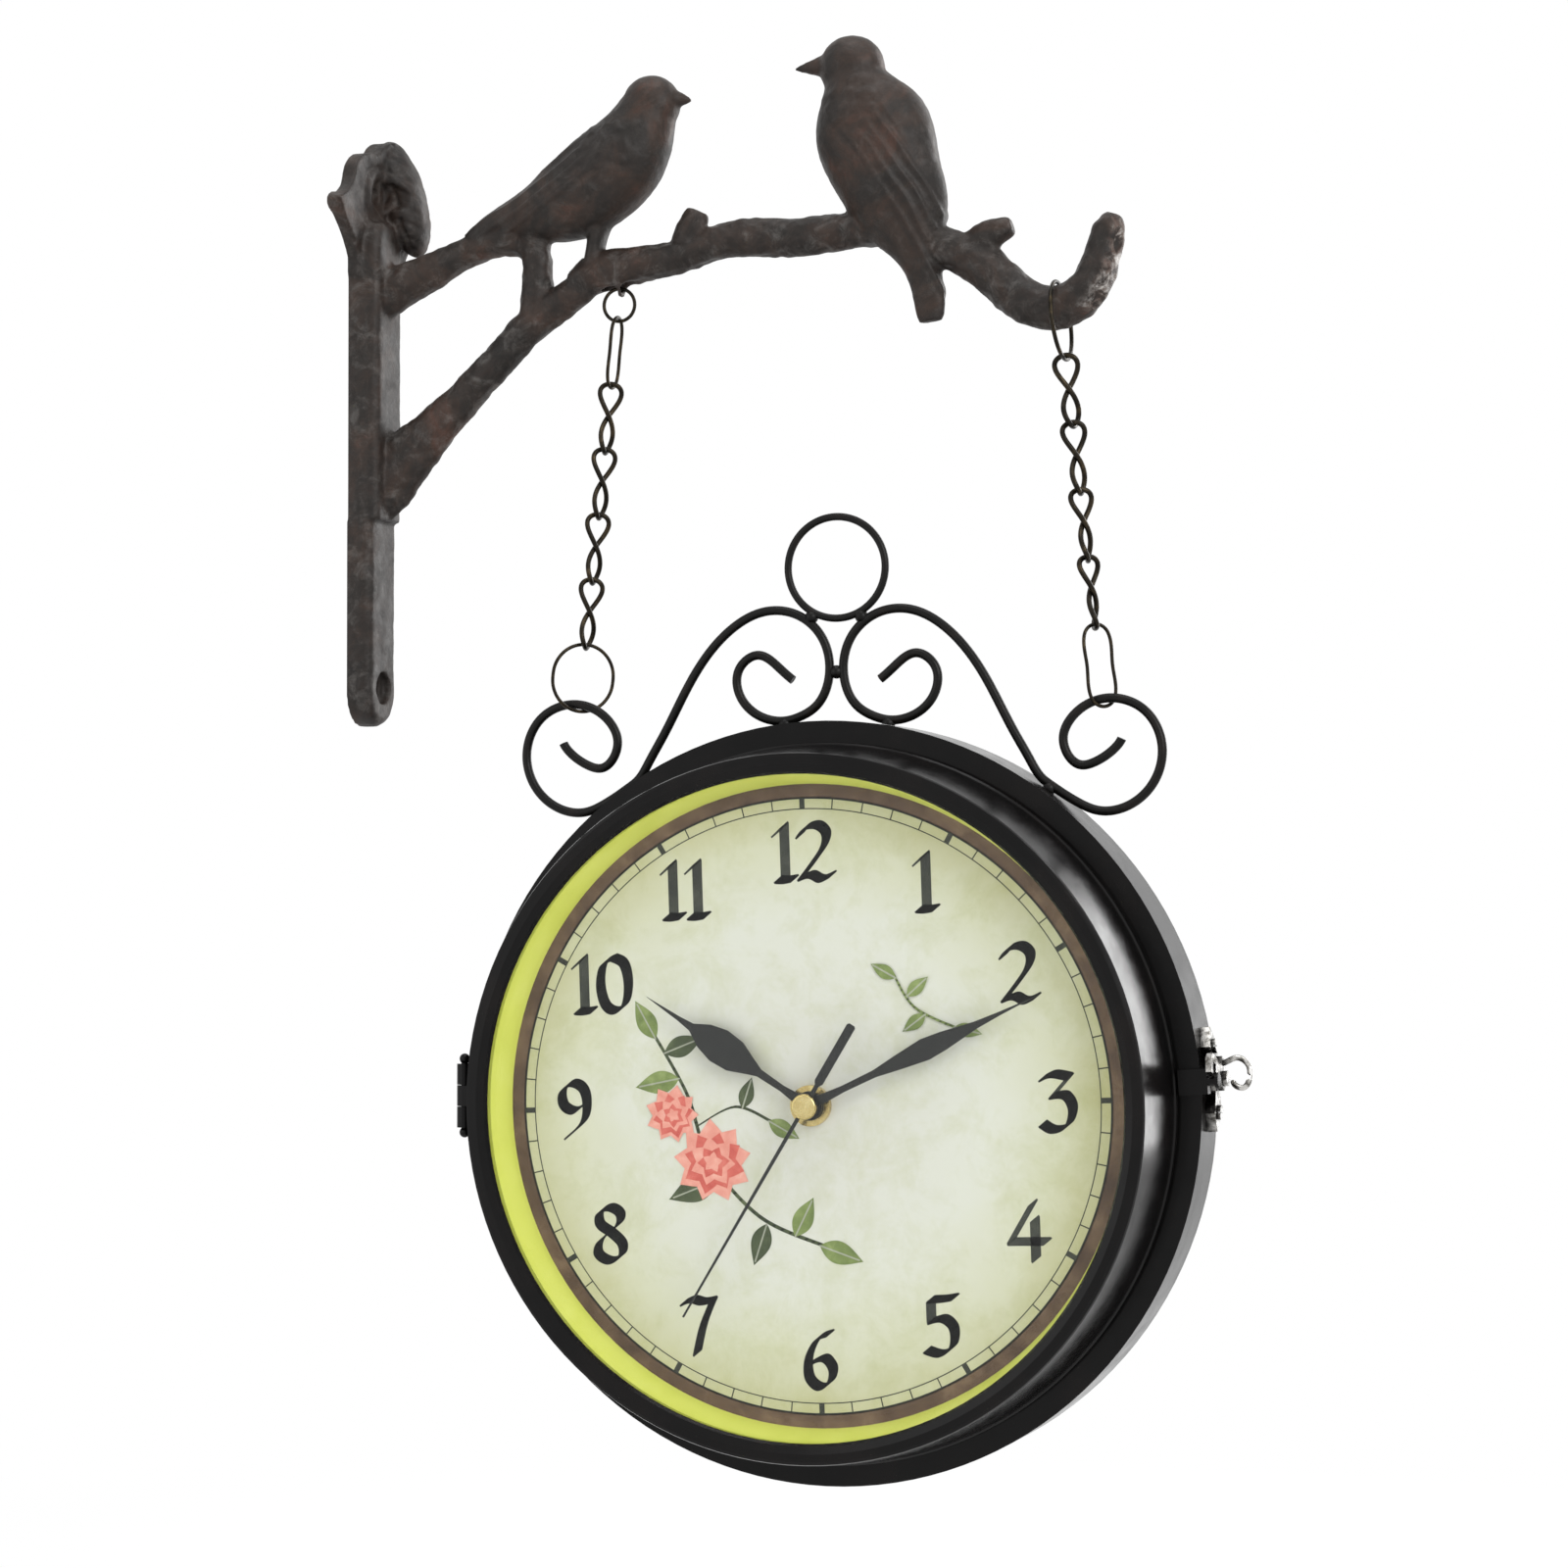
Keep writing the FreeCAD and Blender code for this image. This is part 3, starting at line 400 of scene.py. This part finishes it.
# A smooth line through points
def curve(points, steps=9):
    out = []
    pts = [points[0]] + list(points) + [points[-1]]
    for i in range(1, len(pts) - 2):
        for k in range(steps):
            t = k / steps
            row = []
            for c in range(2):
                p0, p1, p2, p3 = [pts[i + j][c] for j in (-1, 0, 1, 2)]
                row.append(0.5 * (2 * p1 + (p2 - p0) * t
                                  + (2 * p0 - 5 * p1 + 4 * p2 - p3) * t * t
                                  + (3 * p1 - p0 - 3 * p2 + p3) * t ** 3))
            out.append(tuple(row))
    out.append(points[-1])
    return out


# The casting: the four cast solids as one skin, with bark, feathers and leaf veins worked in
cast_names = ["wall_plate", "branch_arm", "left_bird", "right_bird"]
skin_voxel = 0.62
skin_passes = 3
leaf_from_y = 2.5
plate_leaf_z = 53.0
boss_z = 71.0
boss_groove_r = 8.2
boss_groove_deep = 0.45
# From here along the arm, the hook's outer side gets a painted highlight
hook_sheen_x = 210.0
wall_gap = 0.02
top_gap = 0.10
quill_pitch = 3.3
quill_deep = 0.62
covert_pitch = 5.2
covert_deep = 0.34
wing_half = 8.2
wing_raise = 0.55
rib_pitch = 5.0
rib_deep = 0.32
vein_deep = 0.5


# How far along a route a point lies, and how far to its side
def along(route, x, z):
    best = (1e9, 0.0, 0.0)
    done = 0.0
    for (x0, z0), (x1, z1) in zip(route, route[1:]):
        dx, dz = x1 - x0, z1 - z0
        size = math.hypot(dx, dz)
        t = max(0.0, min(1.0, ((x - x0) * dx + (z - z0) * dz) / (size * size)))
        off = math.hypot(x - x0 - t * dx, z - z0 - t * dz)
        if off < best[0]:
            side = ((x - x0) * dz - (z - z0) * dx) / size
            best = (off, done + t * size, side)
        done += size
    return best[1], best[2]


left_wing = [
    (86.0, 84.0), (76.0, 79.0), (62.0, 71.0), (48.0, 64.0), (34.0, 57.5), (24.0, 53.0)]
right_wing = [(147.0, 95.0), (153.0, 86.0), (160.0, 75.0), (167.0, 63.0), (173.0, 50.0)]
leaf_vein = [(4.1, 88.5), (9.0, 71.4), (13.9, 54.3)]


def smooth_step(a, b, v):
    t = max(0.0, min(1.0, (v - a) / (b - a)))
    return t * t * (3.0 - 2.0 * t)


# Height of the wing relief: a raised wing, short coverts at the shoulder, long quills behind
def feather(route, x, z, facing):
    run, side = along(route, x, z)
    warp = side + 0.9 * noise.noise(Vector((run * 0.09, side * 0.12, 3.0))) + 0.05 * run
    quill = 0.5 + 0.5 * math.cos(2.0 * math.pi * warp / quill_pitch)
    row = round(warp / quill_pitch)
    covert = 0.5 + 0.5 * math.cos(2.0 * math.pi * (run / covert_pitch + 0.5 * row))
    long_part = smooth_step(11.0, 19.0, run)
    depth = quill_deep * long_part * (1.0 - quill ** 2)
    depth += covert_deep * (1.0 - long_part) * (1.0 - covert ** 2)
    half = wing_half - 0.06 * run
    inside = smooth_step(half + 0.7, half - 0.7, abs(side)) * smooth_step(0.12, 0.45, facing)
    inside *= smooth_step(-0.5, 2.5, run)
    return (wing_raise - depth) * inside


def leaf_veins(x, z, facing):
    run, side = along(leaf_vein, x, z)
    middle_vein = math.exp(-(side / 0.7) ** 2)
    ribs = 0.5 + 0.5 * math.cos(2.0 * math.pi * (run - 0.9 * abs(side)) / rib_pitch)
    return -(vein_deep * middle_vein + rib_deep * ribs ** 4) * smooth_step(0.2, 0.6, facing)


# The pad behind lobe and leaf: an outline across the wall, with the screw hole left open
pad_outline = [
    (-24.0, 67.6), (-19.0, 69.6), (-14.6, 73.6), (-12.0, 79.0), (-6.0, 82.6), (-1.0, 83.0),
    (3.0, 86.0), (8.0, 87.6), (13.0, 85.4), (16.6, 78.0), (18.0, 70.0), (17.0, 61.0),
    (13.0, 53.0), (8.6, 46.0), (-8.6, 46.0), (-10.4, 52.0), (-15.0, 58.0), (-20.5, 63.0)]
pad_back = 0.3
hole_head_r = 4.6


def pad_front(y):
    return 6.0 + 0.22 * max(y, -7.0)


def build_pad(bm):
    outer = curve(pad_outline + pad_outline[:1], 5)[:-1]
    hole = [(hole_head_r * math.cos(math.pi * i / 16),
             boss_z + hole_head_r * math.sin(math.pi * i / 16)) for i in range(32)]
    edges = []
    for loop in (outer, hole):
        verts = [bm.verts.new(Vector((pad_back, y, z)) * MM) for y, z in loop]
        edges += [bm.edges.new((a, b)) for a, b in zip(verts, verts[1:] + verts[:1])]
    flat = [g for g in bmesh.ops.triangle_fill(bm, use_beauty=True, edges=edges)["geom"]
            if isinstance(g, bmesh.types.BMFace)]
    grown = bmesh.ops.extrude_face_region(bm, geom=flat, use_keep_orig=True)["geom"]
    for v in grown:
        if isinstance(v, bmesh.types.BMVert):
            v.co.x = pad_front(v.co.y / MM) * MM
    bmesh.ops.recalc_face_normals(bm, faces=bm.faces)


# Height of the relief at a point of the skin that lies nearest to the named solid
def relief(near, p, facing):
    if near == "branch_arm":
        q = Vector((p.x * 0.06, p.y * 0.22, p.z * 0.16))
        h = 0.55 * noise.noise(q * 1.6) + 0.30 * noise.noise(p * 0.42)
    elif near == "wall_plate":
        h = 0.22 * noise.noise(p * 0.16) + 0.10 * noise.noise(p * 0.5)
        if p.y > leaf_from_y and p.z > plate_leaf_z:
            h += leaf_veins(p.x, p.z, facing)
        elif p.z > plate_leaf_z:
            rim = math.hypot(p.y, p.z - boss_z)
            h -= boss_groove_deep * math.exp(-((rim - boss_groove_r) / 0.8) ** 2)
    else:
        h = feather(left_wing if near == "left_bird" else right_wing, p.x, p.z, facing)
        h += 0.10 * noise.noise(p * 0.5)
    return h * smooth_step(0.6, 2.0, p.x)


# How much rub colour goes there: a little real wear on every part, and on the outer side of the
# hook a painted highlight
def rubbed(near, p, normal):
    if near == "branch_arm":
        # Painted highlight on the hook where it faces +X, the side towards the lights on the
        # right
        hook = smooth_step(hook_sheen_x, hook_sheen_x + 8.0, p.x)
        return 0.12 + 1.9 * hook * smooth_step(0.1, 0.8, normal.x)
    return 0.12 if near == "wall_plate" else 0.04


def build_casting():
    trees = {}
    whole = bmesh.new()
    build_pad(whole)
    for name in cast_names:
        one = bmesh.new()
        one.from_mesh(nodes[name].data)
        bmesh.ops.remove_doubles(one, verts=one.verts, dist=1e-6)
        trees[name] = BVHTree.FromBMesh(one)
        one.free()
        whole.from_mesh(nodes[name].data)
    bmesh.ops.remove_doubles(whole, verts=whole.verts, dist=1e-6)
    rough_mesh = bpy.data.meshes.new("casting_rough")
    whole.to_mesh(rough_mesh)
    whole.free()
    rough = bpy.data.objects.new("casting_rough", rough_mesh)
    scene.collection.objects.link(rough)
    skin = rough.modifiers.new("skin", "REMESH")
    skin.mode = "VOXEL"
    skin.voxel_size = skin_voxel * MM
    skin.adaptivity = 0.0
    bpy.context.view_layer.update()
    graph = bpy.context.evaluated_depsgraph_get()
    got = bpy.data.meshes.new_from_object(rough.evaluated_get(graph))
    bm = bmesh.new()
    bm.from_mesh(got)
    bpy.data.objects.remove(rough)
    bpy.data.meshes.remove(rough_mesh)
    bpy.data.meshes.remove(got)
    for _ in range(skin_passes):
        bmesh.ops.smooth_vert(bm, verts=bm.verts, factor=0.5,
                              use_axis_x=True, use_axis_y=True, use_axis_z=True)
    bm.normal_update()
    moves = []
    # Per-point rub amount, with the painted highlight on the hook included
    wear_and_sheen = bm.verts.layers.float_color.new("wear_and_sheen")
    for v in bm.verts:
        p = v.co / MM
        dist = {n: t.find_nearest(v.co)[3] for n, t in trees.items()}
        near = min(dist, key=dist.get)
        grey = rubbed(near, p, v.normal)
        v[wear_and_sheen] = (grey, grey, grey, 1.0)
        moves.append(v.normal * relief(near, p, abs(v.normal.y)) * MM)
    for v, move in zip(bm.verts, moves):
        v.co += move
        v.co.x = max(v.co.x, wall_gap * MM)
        v.co.z = min(v.co.z, cad_high.z - top_gap * MM)
    for f in bm.faces:
        f.smooth = True
    return bm


casting = piece("cast_bracket", "bracket", [cast_iron], build_casting())
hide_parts(*cast_names)


# Chain links as heavier wire, made from the links' own meshes
def heavy_links(name, body, source, more):
    bm = bmesh.new()
    bm.from_mesh(nodes[source].data)
    bmesh.ops.remove_doubles(bm, verts=bm.verts, dist=1e-6)
    bm.normal_update()
    moves = [v.normal * more * MM for v in bm.verts]
    for v, move in zip(bm.verts, moves):
        v.co += move
    for f in bm.faces:
        f.smooth = True
    obj = piece(name, body, [bronze], bm)
    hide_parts(source)


heavy_links("left_links", "left_chain", "left_jack_links", 0.20)
heavy_links("right_links", "right_chain", "right_jack_links", 0.24)


# Flat print on a dial, given in millimetres right and up from the dial's centre, as read
print_turn = math.radians(2.0)
print_lift = 0.02


class Print:
    def __init__(self):
        self.bm = bmesh.new()
        self.lift = print_lift

    def add(self, points, mat):
        verts = []
        for u, v in points:
            a = u * math.cos(print_turn) - v * math.sin(print_turn)
            b = u * math.sin(print_turn) + v * math.cos(print_turn)
            spot = Vector((clock_x + a, dial_face - self.lift, clock_z + b))
            verts.append(self.bm.verts.new(spot * MM))
        face = self.bm.faces.new(verts)
        face.normal_update()
        if face.normal.y > 0:
            face.normal_flip()
        face.material_index = mat

    def up(self, step=0.004):
        self.lift += step


INK, BROWN, CORAL, DEEP, LEAF, LEAF_DARK, GREY = range(7)


def polar(r, clockwise):
    a = math.radians(clockwise)
    return (r * math.sin(a), r * math.cos(a))


def ring(art, r0, r1, mat, parts=240):
    for i in range(parts):
        a, b = 360.0 * i / parts, 360.0 * (i + 1) / parts
        art.add([polar(r0, a), polar(r1, a), polar(r1, b), polar(r0, b)], mat)


def spoke(art, angle, r0, r1, wide, mat):
    u, v = polar(1.0, angle)
    h = wide / 2.0
    art.add([(u * r0 - v * h, v * r0 + u * h), (u * r1 - v * h, v * r1 + u * h),
             (u * r1 + v * h, v * r1 - u * h), (u * r0 + v * h, v * r0 - u * h)], mat)


# A broad pen held at a slant: each short run of the stroke is the hull of the nib at both ends
def pen(art, points, wide, mat, slant=38.0, thick=0.16):
    s = math.radians(slant)
    nib = [(wide / 2 * math.cos(s) * a - wide * thick / 2 * math.sin(s) * b,
            wide / 2 * math.sin(s) * a + wide * thick / 2 * math.cos(s) * b)
           for a in (-1, 1) for b in (-1, 1)]
    for (x0, y0), (x1, y1) in zip(points, points[1:]):
        cloud = [Vector((x + dx, y + dy)) for x, y in ((x0, y0), (x1, y1)) for dx, dy in nib]
        art.add([tuple(cloud[i]) for i in convex_hull_2d(cloud)], mat)


# Numeral strokes in a box one unit high; straight runs have two points, longer ones are rounded
numerals = {
    "0": (0.60, [[(0.30, 0.97), (0.13, 0.85), (0.07, 0.50), (0.14, 0.15), (0.30, 0.03),
                  (0.47, 0.15), (0.53, 0.50), (0.47, 0.85), (0.30, 0.97)]]),
    "1": (0.40, [[(0.06, 0.84), (0.20, 0.98)], [(0.20, 0.97), (0.20, 0.05)],
                 [(0.08, 0.04), (0.20, 0.03), (0.34, 0.05)]]),
    "2": (0.60, [[(0.05, 0.80), (0.16, 0.94), (0.34, 0.97), (0.47, 0.84), (0.44, 0.62),
                  (0.26, 0.34), (0.06, 0.07)],
                 [(0.06, 0.06), (0.22, 0.11), (0.38, 0.03), (0.55, 0.10)]]),
    "3": (0.58, [[(0.07, 0.90), (0.24, 0.97), (0.48, 0.92)], [(0.48, 0.92), (0.22, 0.60)],
                 [(0.22, 0.60), (0.42, 0.60), (0.52, 0.38), (0.44, 0.10), (0.22, 0.02),
                  (0.05, 0.12)]]),
    "4": (0.64, [[(0.40, 0.98), (0.05, 0.34)], [(0.05, 0.32), (0.60, 0.32)],
                 [(0.42, 0.70), (0.42, 0.02)]]),
    "5": (0.58, [[(0.14, 0.95), (0.34, 0.96), (0.52, 0.99)], [(0.14, 0.95), (0.14, 0.60)],
                 [(0.14, 0.58), (0.34, 0.62), (0.49, 0.46), (0.47, 0.16), (0.28, 0.02),
                  (0.06, 0.08)]]),
    "6": (0.58, [[(0.46, 0.96), (0.26, 0.86), (0.11, 0.54), (0.11, 0.20), (0.27, 0.03),
                  (0.44, 0.12), (0.49, 0.35), (0.36, 0.53), (0.14, 0.44)]]),
    "7": (0.58, [[(0.05, 0.90), (0.20, 0.96), (0.36, 0.92), (0.53, 0.95)],
                 [(0.53, 0.95), (0.36, 0.52), (0.24, 0.02)]]),
    "8": (0.58, [[(0.30, 0.54), (0.13, 0.68), (0.13, 0.88), (0.30, 0.97), (0.46, 0.87),
                  (0.45, 0.70), (0.29, 0.54), (0.11, 0.36), (0.09, 0.15), (0.28, 0.03),
                  (0.47, 0.13), (0.48, 0.34), (0.30, 0.54)]]),
    "9": (0.58, [[(0.45, 0.60), (0.28, 0.48), (0.11, 0.58), (0.09, 0.82), (0.25, 0.97),
                  (0.43, 0.88), (0.49, 0.62), (0.43, 0.30), (0.16, 0.03)]]),
}
numeral_high = 15.6
numeral_wide = 1.14 * numeral_high
numeral_pen = 3.2
numeral_r = 68.8


def numeral(art, text, at):
    wide = sum(numerals[c][0] for c in text)
    left = -wide / 2.0
    for c in text:
        step, strokes = numerals[c]
        for stroke in strokes:
            run = stroke if len(stroke) == 2 else curve(stroke)
            spots = [(at[0] + (left + x) * numeral_wide, at[1] + (y - 0.5) * numeral_high)
                     for x, y in run]
            pen(art, spots, numeral_pen, INK)
        left += step


def leaf_shape(at, turn, size, wide):
    out = []
    for i in range(25):
        t = i / 24.0
        out.append((t * size, wide * math.sin(math.pi * t ** 0.8) ** 1.1))
    back = [(x, -y) for x, y in reversed(out[1:-1])]
    a = math.radians(turn)
    return [(at[0] + x * math.cos(a) - y * math.sin(a),
             at[1] + x * math.sin(a) + y * math.cos(a)) for x, y in out + back]


def leaf(art, at, turn, size, wide, mat):
    art.up()
    art.add(leaf_shape(at, turn, size, wide), mat)
    art.up()
    a = math.radians(turn)
    tip = (at[0] + 0.9 * size * math.cos(a), at[1] + 0.9 * size * math.sin(a))
    pen(art, [at, tip], 0.45, GREY, turn + 90.0, 1.0)


def blossom(art, at, size, start):
    rows = [(1.0, 9, CORAL), (0.78, 8, DEEP), (0.62, 7, CORAL), (0.42, 6, DEEP),
            (0.26, 5, CORAL)]
    for k, (part, count, mat) in enumerate(rows):
        for i in range(count):
            art.up()
            turn = start + 360.0 * i / count + 17.0 * k
            reach = size * part * random.uniform(0.92, 1.05)
            art.add(leaf_shape(at, turn, reach, reach * 0.36), mat)


track_in = 80.5


# Rings, minute track and numerals, then a spray with two blossoms and a small sprig
def dial_print():
    art = Print()
    ring(art, 83.6, 87.6, BROWN)
    ring(art, 83.3, 83.9, INK)
    ring(art, track_in, 80.8, INK)
    art.up()
    for i in range(60):
        spoke(art, 6.0 * i, track_in, 83.7, 0.35 if i % 5 else 1.5, INK)
    for n in range(1, 13):
        numeral(art, str(n), polar(numeral_r, 30.0 * n))
    art.up()
    stem = curve([(-46.0, 22.0), (-36.0, 4.0), (-30.0, -14.0), (-16.0, -30.0), (2.0, -38.0)])
    pen(art, stem, 0.9, LEAF_DARK, 30.0, 0.6)
    side = curve([(-33.0, -5.0), (-22.0, 0.0), (-12.0, -4.0)])
    pen(art, side, 0.7, LEAF_DARK, 30.0, 0.6)
    for at, turn, size, mat in [
            ((-44.5, 19.0), 118.0, 12.0, LEAF), ((-42.0, 15.0), 20.0, 12.0, LEAF_DARK),
            ((-38.0, 8.0), 190.0, 13.0, LEAF), ((-14.0, -32.0), 250.0, 12.0, LEAF_DARK),
            ((-6.0, -35.5), 62.0, 12.0, LEAF), ((1.0, -38.0), 340.0, 13.0, LEAF),
            ((-12.5, -4.0), 330.0, 10.0, LEAF), ((-20.0, -0.5), 70.0, 9.0, LEAF_DARK),
            ((-28.0, -20.0), 200.0, 15.0, LEAF_DARK)]:
        leaf(art, at, turn, size, size * 0.24, mat)
    blossom(art, (-29.0, -15.0), 11.5, 12.0)
    blossom(art, (-40.0, -2.0), 8.0, 40.0)
    upper = curve([(24.0, 36.0), (30.0, 26.0), (42.0, 20.0)])
    pen(art, upper, 0.6, LEAF, 30.0, 0.6)
    for at, turn in [((25.0, 34.0), 150.0), ((28.0, 29.0), 40.0), ((33.0, 24.0), 215.0),
                     ((41.0, 20.4), 345.0)]:
        leaf(art, at, turn, 8.0, 1.9, LEAF)
    return art.bm


front_print = dial_print()
rear_print = front_print.copy()
half_turn = Matrix.Translation((clock_x * MM, 0, 0)) @ Matrix.Rotation(math.pi, 4, "Z")
half_turn = half_turn @ Matrix.Translation((-clock_x * MM, 0, 0))
bmesh.ops.transform(rear_print, matrix=half_turn, verts=rear_print.verts)
piece("front_print", "front_half", print_mats, front_print)
piece("rear_print", "clock", print_mats, rear_print)


# Pale floor and white surroundings, which the camera, mirrors and glass see
def camera_rays(tree):
    path = tree.nodes.new("ShaderNodeLightPath")
    top = tree.nodes.new("ShaderNodeMath")
    top.operation = "MAXIMUM"
    wire(tree, path.outputs["Is Camera Ray"], top.inputs[0])
    wire(tree, path.outputs["Is Glossy Ray"], top.inputs[1])
    more = tree.nodes.new("ShaderNodeMath")
    more.operation = "MAXIMUM"
    wire(tree, top.outputs["Value"], more.inputs[0])
    wire(tree, path.outputs["Is Transmission Ray"], more.inputs[1])
    return more.outputs["Value"]


world = bpy.data.worlds.new("studio")
scene.world = world
world.use_nodes = True
sky = world.node_tree
soft = sky.nodes["Background"]
soft.inputs["Color"].default_value = (1.0, 1.0, 1.0, 1.0)
soft.inputs["Strength"].default_value = 0.70
white = sky.nodes.new("ShaderNodeBackground")
white.inputs["Color"].default_value = (1.0, 1.0, 1.0, 1.0)
white.inputs["Strength"].default_value = 1.0
choose = sky.nodes.new("ShaderNodeMixShader")
wire(sky, camera_rays(sky), choose.inputs[0])
wire(sky, soft.outputs["Background"], choose.inputs[1])
wire(sky, white.outputs["Background"], choose.inputs[2])
wire(sky, choose.outputs["Shader"], sky.nodes["World Output"].inputs["Surface"])

floor_bm = bmesh.new()
bmesh.ops.create_grid(floor_bm, x_segments=1, y_segments=1, size=6.0)
floor_mesh = bpy.data.meshes.new("floor")
floor_bm.to_mesh(floor_mesh)
floor_bm.free()
floor = bpy.data.objects.new("floor", floor_mesh)
floor_drop = 0.12
floor.location = (0.1, 0.0, cad_low.z - floor_drop)
scene.collection.objects.link(floor)
pale, pale_tree, pale_shader = new_material("pale_floor")
pale_shader.inputs["Base Color"].default_value = (0.92, 0.92, 0.92, 1.0)
pale_shader.inputs["Roughness"].default_value = 0.9
pale_shader.inputs["Specular IOR Level"].default_value = 0.0
glow = pale_tree.nodes.new("ShaderNodeEmission")
glow.inputs["Strength"].default_value = 1.0
# Under the object the floor keeps its shadow; further off it fades to the white surroundings
near_glow, near_r, far_r = 0.45, 0.25, 0.85
apart = pale_tree.nodes.new("ShaderNodeVectorMath")
apart.operation = "LENGTH"
wire(pale_tree, place(pale_tree), apart.inputs[0])
fade = spread(pale_tree, apart.outputs["Value"], near_glow, 1.0, near_r, far_r)
seen = pale_tree.nodes.new("ShaderNodeMath")
seen.operation = "MULTIPLY"
wire(pale_tree, fade, seen.inputs[0])
wire(pale_tree, camera_rays(pale_tree), seen.inputs[1])
pick = pale_tree.nodes.new("ShaderNodeMixShader")
wire(pale_tree, seen.outputs["Value"], pick.inputs[0])
wire(pale_tree, pale_shader.outputs["BSDF"], pick.inputs[1])
wire(pale_tree, glow.outputs["Emission"], pick.inputs[2])
pale_out = pale_tree.nodes["Material Output"]
wire(pale_tree, pick.outputs["Shader"], pale_out.inputs["Surface"])
floor_mesh.materials.append(pale)


# Soft studio lights
def area(name, at, target, size, power):
    data = bpy.data.lights.new(name, "AREA")
    data.shape = "RECTANGLE"
    data.size, data.size_y = size
    data.energy = power
    obj = bpy.data.objects.new(name, data)
    obj.location = at
    obj.rotation_mode = "QUATERNION"
    obj.rotation_quaternion = (Vector(target) - Vector(at)).to_track_quat("-Z", "Y")
    scene.collection.objects.link(obj)


middle = (clock_x * MM, 0.0, -0.09)
area("key", (1.25, -0.85, 0.55), middle, (0.9, 0.9), 12.0)
area("fill", (-0.9, -1.2, 0.25), middle, (1.0, 1.2), 4.0)
area("top", (0.15, -0.25, 1.2), middle, (0.8, 0.8), 6.0)
# The strip that the right side of the case mirrors
area("side_strip", (0.90, 1.28, 0.25), middle, (0.50, 1.7), 15.0)


# Camera at the photo's angle
turn, lift = math.radians(18.09), math.radians(-1.01)
ahead = Vector((-math.sin(turn) * math.cos(lift), math.cos(turn) * math.cos(lift),
                -math.sin(lift)))
lens_data = bpy.data.cameras.new("camera")
lens_data.sensor_width = 36.0
lens_data.lens = 94.0
lens_data.clip_start = 0.05
camera = bpy.data.objects.new("camera", lens_data)
camera.location = (0.4825, -1.0832, -0.1193)
camera.rotation_mode = "QUATERNION"
camera.rotation_quaternion = ahead.to_track_quat("-Z", "Y")
scene.collection.objects.link(camera)
scene.camera = camera
scene.view_settings.view_transform = "Standard"
